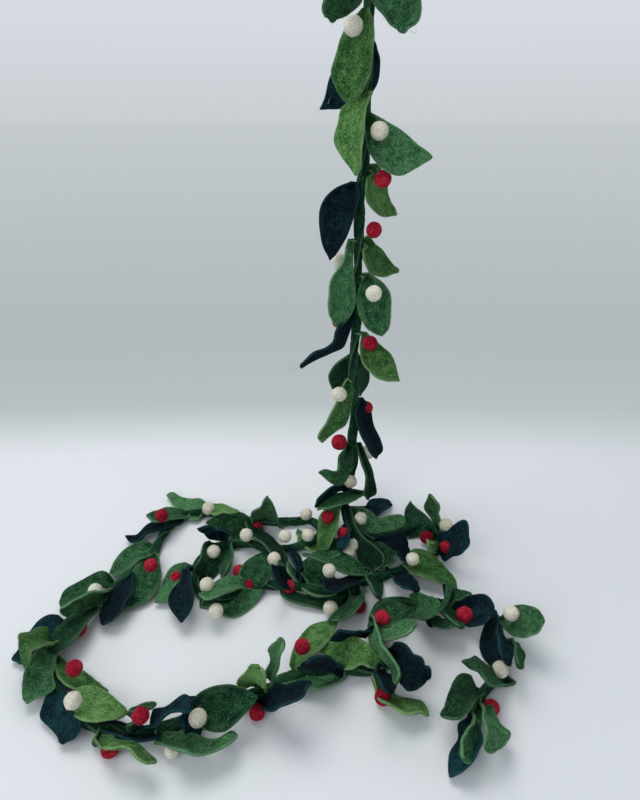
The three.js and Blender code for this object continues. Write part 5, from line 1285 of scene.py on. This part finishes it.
def nap():
    rng = np.random.default_rng(42)
    for colour in ("light", "mid", "dark", "navy", "red", "cream"):
        starts, dirs = [], []
        for key, p, outward, normal in rims:
            if key == colour and key in ("red", "cream"):
                pick = rng.integers(0, len(p), 45)
                starts.append(p[pick])
                dirs.append(normal[pick] + 0.7 * rng.normal(size=(45, 3)))
            elif key == colour:
                n = 62
                x = rng.uniform(0, len(p) - 1.001, n)
                i = x.astype(int)
                f = (x - i)[:, None]
                q = p[i] * (1 - f) + p[i + 1] * f
                o, m = outward[i], normal[i]
                q = q - o * 0.25 + m * rng.uniform(-0.8, 0.8, (n, 1))
                starts.append(q)
                dirs.append(o + 0.55 * rng.normal(size=(n, 3)))
            elif key == colour + "*":
                n = 42
                pick = rng.integers(0, len(p), n)
                sign = rng.choice([-1, 1], n)[:, None]
                starts.append(p[pick] + normal[pick] * sign * FELT * 0.48 + 0.8 * rng.normal(size=(n, 3)) * [1, 1, 0.1])
                dirs.append(normal[pick] * sign * 0.5 + rng.normal(size=(n, 3)) * 0.6)
        starts, dirs = np.concatenate(starts), units(np.concatenate(dirs))
        n = len(starts)
        fibres(
            "nap_" + colour, colour, starts, dirs, rng.uniform(0.5, 1.7, n),
            units(rng.normal(size=(n, 3))) * rng.uniform(0.2, 0.7, (n, 1)), 0.055,
        )


nap()


def curl(name, colour, points):
    """One long loose hair along the given points."""
    p = smooth_line(points, 8)
    along = units(np.gradient(p, axis=0))
    a = units(np.cross(along, (0.31, 0.87, 0.39)))
    b = np.cross(along, a)
    w = 0.11 * (1 - 0.5 * np.linspace(0, 1, len(p)))[:, None]
    ring = np.stack([p + w * (a * math.cos(x) + b * math.sin(x)) for x in (0, 2.094, 4.189)], 1)
    i, k = np.meshgrid(np.arange(len(p) - 1), np.arange(3), indexing="ij")
    k2 = (k + 1) % 3
    quads = np.stack([i * 3 + k, i * 3 + k2, (i + 1) * 3 + k2, (i + 1) * 3 + k], -1).reshape(-1, 4)
    m = len(p) * 3
    # painted highlight: the hair carries the pale edge colour and a lighter tone
    ob = make_mesh(name, ring.reshape(-1, 3), quads, FELTS[colour], {"rim": np.full(m, 1.0), "tone": np.full(m, 0.15)})
    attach(ob, "root")


for number, (colour, points) in enumerate(STRAYS):
    curl("stray_%d" % (number + 1), colour, points)


# ---------------------------------------------------------------- floor and light
def make_stage():
    """A light tabletop that runs off into a slightly darker background, which glows as an emission though it is no lamp
    and carries painted shade in a darker band.
    """
    mat = bpy.data.materials.new("floor")
    mat.use_nodes = True
    nt = mat.node_tree
    bsdf = nt.nodes["Principled BSDF"]
    out = nt.nodes["Material Output"]
    place = nt.nodes.new("ShaderNodeTexCoord")
    away = nt.nodes.new("ShaderNodeVectorMath")
    away.operation = "LENGTH"
    wide = nt.nodes.new("ShaderNodeVectorMath")
    wide.operation = "MULTIPLY"
    wide.inputs[1].default_value = (0.4, 1.0, 1.0)
    nt.links.new(place.outputs["Object"], wide.inputs[0])
    nt.links.new(wide.outputs["Vector"], away.inputs[0])
    spread = nt.nodes.new("ShaderNodeMapRange")
    spread.interpolation_type = "SMOOTHSTEP"
    spread.inputs["From Min"].default_value = 0.585
    spread.inputs["From Max"].default_value = 0.745
    nt.links.new(away.outputs["Value"], spread.inputs["Value"])
    near = nt.nodes.new("ShaderNodeMath")
    near.operation = "DIVIDE"
    near.inputs[0].default_value = 1 / 1.5
    nt.links.new(away.outputs["Value"], near.inputs[1])
    # painted shade: the glowing far floor darkens in a band beyond the objects and lightens again towards the horizon
    back = nt.nodes.new("ShaderNodeValToRGB")
    back.color_ramp.interpolation = "B_SPLINE"
    tones = [(0.0, HORIZON), (0.6, (170, 178, 182)), (1.0, (190, 198, 200))]
    e = back.color_ramp.elements
    e[0].position, e[0].color = tones[0][0], rgb(*tones[0][1])
    e[1].position, e[1].color = tones[-1][0], rgb(*tones[-1][1])
    for x, c in tones[1:-1]:
        e.new(x).color = rgb(*c)
    nt.links.new(near.outputs[0], back.inputs[0])
    backdrop_glow = nt.nodes.new("ShaderNodeEmission")
    nt.links.new(back.outputs[0], backdrop_glow.inputs[0])
    mix = nt.nodes.new("ShaderNodeMixShader")
    nt.links.new(spread.outputs["Result"], mix.inputs[0])
    nt.links.new(bsdf.outputs[0], mix.inputs[1])
    nt.links.new(backdrop_glow.outputs[0], mix.inputs[2])
    nt.links.new(mix.outputs[0], out.inputs[0])
    bsdf.inputs["Base Color"].default_value = FLOOR_TONE
    bsdf.inputs["Roughness"].default_value = 0.9
    bsdf.inputs["Specular IOR Level"].default_value = 0.1
    mesh = bpy.data.meshes.new("floor")
    size = 60.0
    mesh.from_pydata([(-size, -size, 0), (size, -size, 0), (size, size, 0), (-size, size, 0)], [], [(0, 1, 2, 3)])
    mesh.materials.append(mat)
    floor = bpy.data.objects.new("floor", mesh)
    foot = metres((0, CAMERA_MM[1], 0))
    floor.location = (float(foot[0]), float(foot[1]), FLOOR_Z)
    bpy.context.collection.objects.link(floor)


HORIZON = (200, 206, 210)
FLOOR_TONE = rgb(228, 231, 234)
make_stage()


def make_world():
    """Even light from all sides, a little duller low down."""
    world = bpy.data.worlds.new("sky")
    world.use_nodes = True
    nt = world.node_tree
    background = nt.nodes["Background"]
    place = nt.nodes.new("ShaderNodeTexCoord")
    split = nt.nodes.new("ShaderNodeSeparateXYZ")
    nt.links.new(place.outputs["Generated"], split.inputs[0])
    ramp = nt.nodes.new("ShaderNodeValToRGB")
    tones = [(0.0, HORIZON), (0.14, (214, 220, 226)), (0.45, SKY)]
    e = ramp.color_ramp.elements
    e[0].position, e[0].color = tones[0][0], rgb(*tones[0][1])
    e[1].position, e[1].color = tones[-1][0], rgb(*tones[-1][1])
    for x, c in tones[1:-1]:
        e.new(x).color = rgb(*c)
    nt.links.new(split.outputs["Z"], ramp.inputs[0])
    nt.links.new(ramp.outputs[0], background.inputs[0])
    background.inputs[1].default_value = 1.0
    bpy.context.scene.world = world


SKY = (160, 166, 171)
make_world()


def area(name, place, aim, size, power, colour):
    data = bpy.data.lights.new(name, "AREA")
    data.shape = "DISK"
    data.size = size
    data.energy = power
    data.color = colour
    ob = bpy.data.objects.new(name, data)
    place, aim = np.array(place, float), np.array(aim, float)
    ob.location = place
    from mathutils import Vector

    ob.rotation_euler = Vector(place - aim).to_track_quat("Z", "Y").to_euler()
    bpy.context.collection.objects.link(ob)
    return ob


middle = metres((0, -110, 0))
area("key", middle + np.array([-0.30, 0.35, 1.40]), middle, 1.0, 9.5, (1.0, 0.99, 0.97))
area("fill", middle + np.array([-0.7, -1.25, 1.15]), middle + np.array([0, 0, 0.15]), 1.2, 11.0, (0.96, 0.98, 1.0))

scene = bpy.context.scene
scene.view_settings.view_transform = "Standard"
scene.view_settings.look = "None"
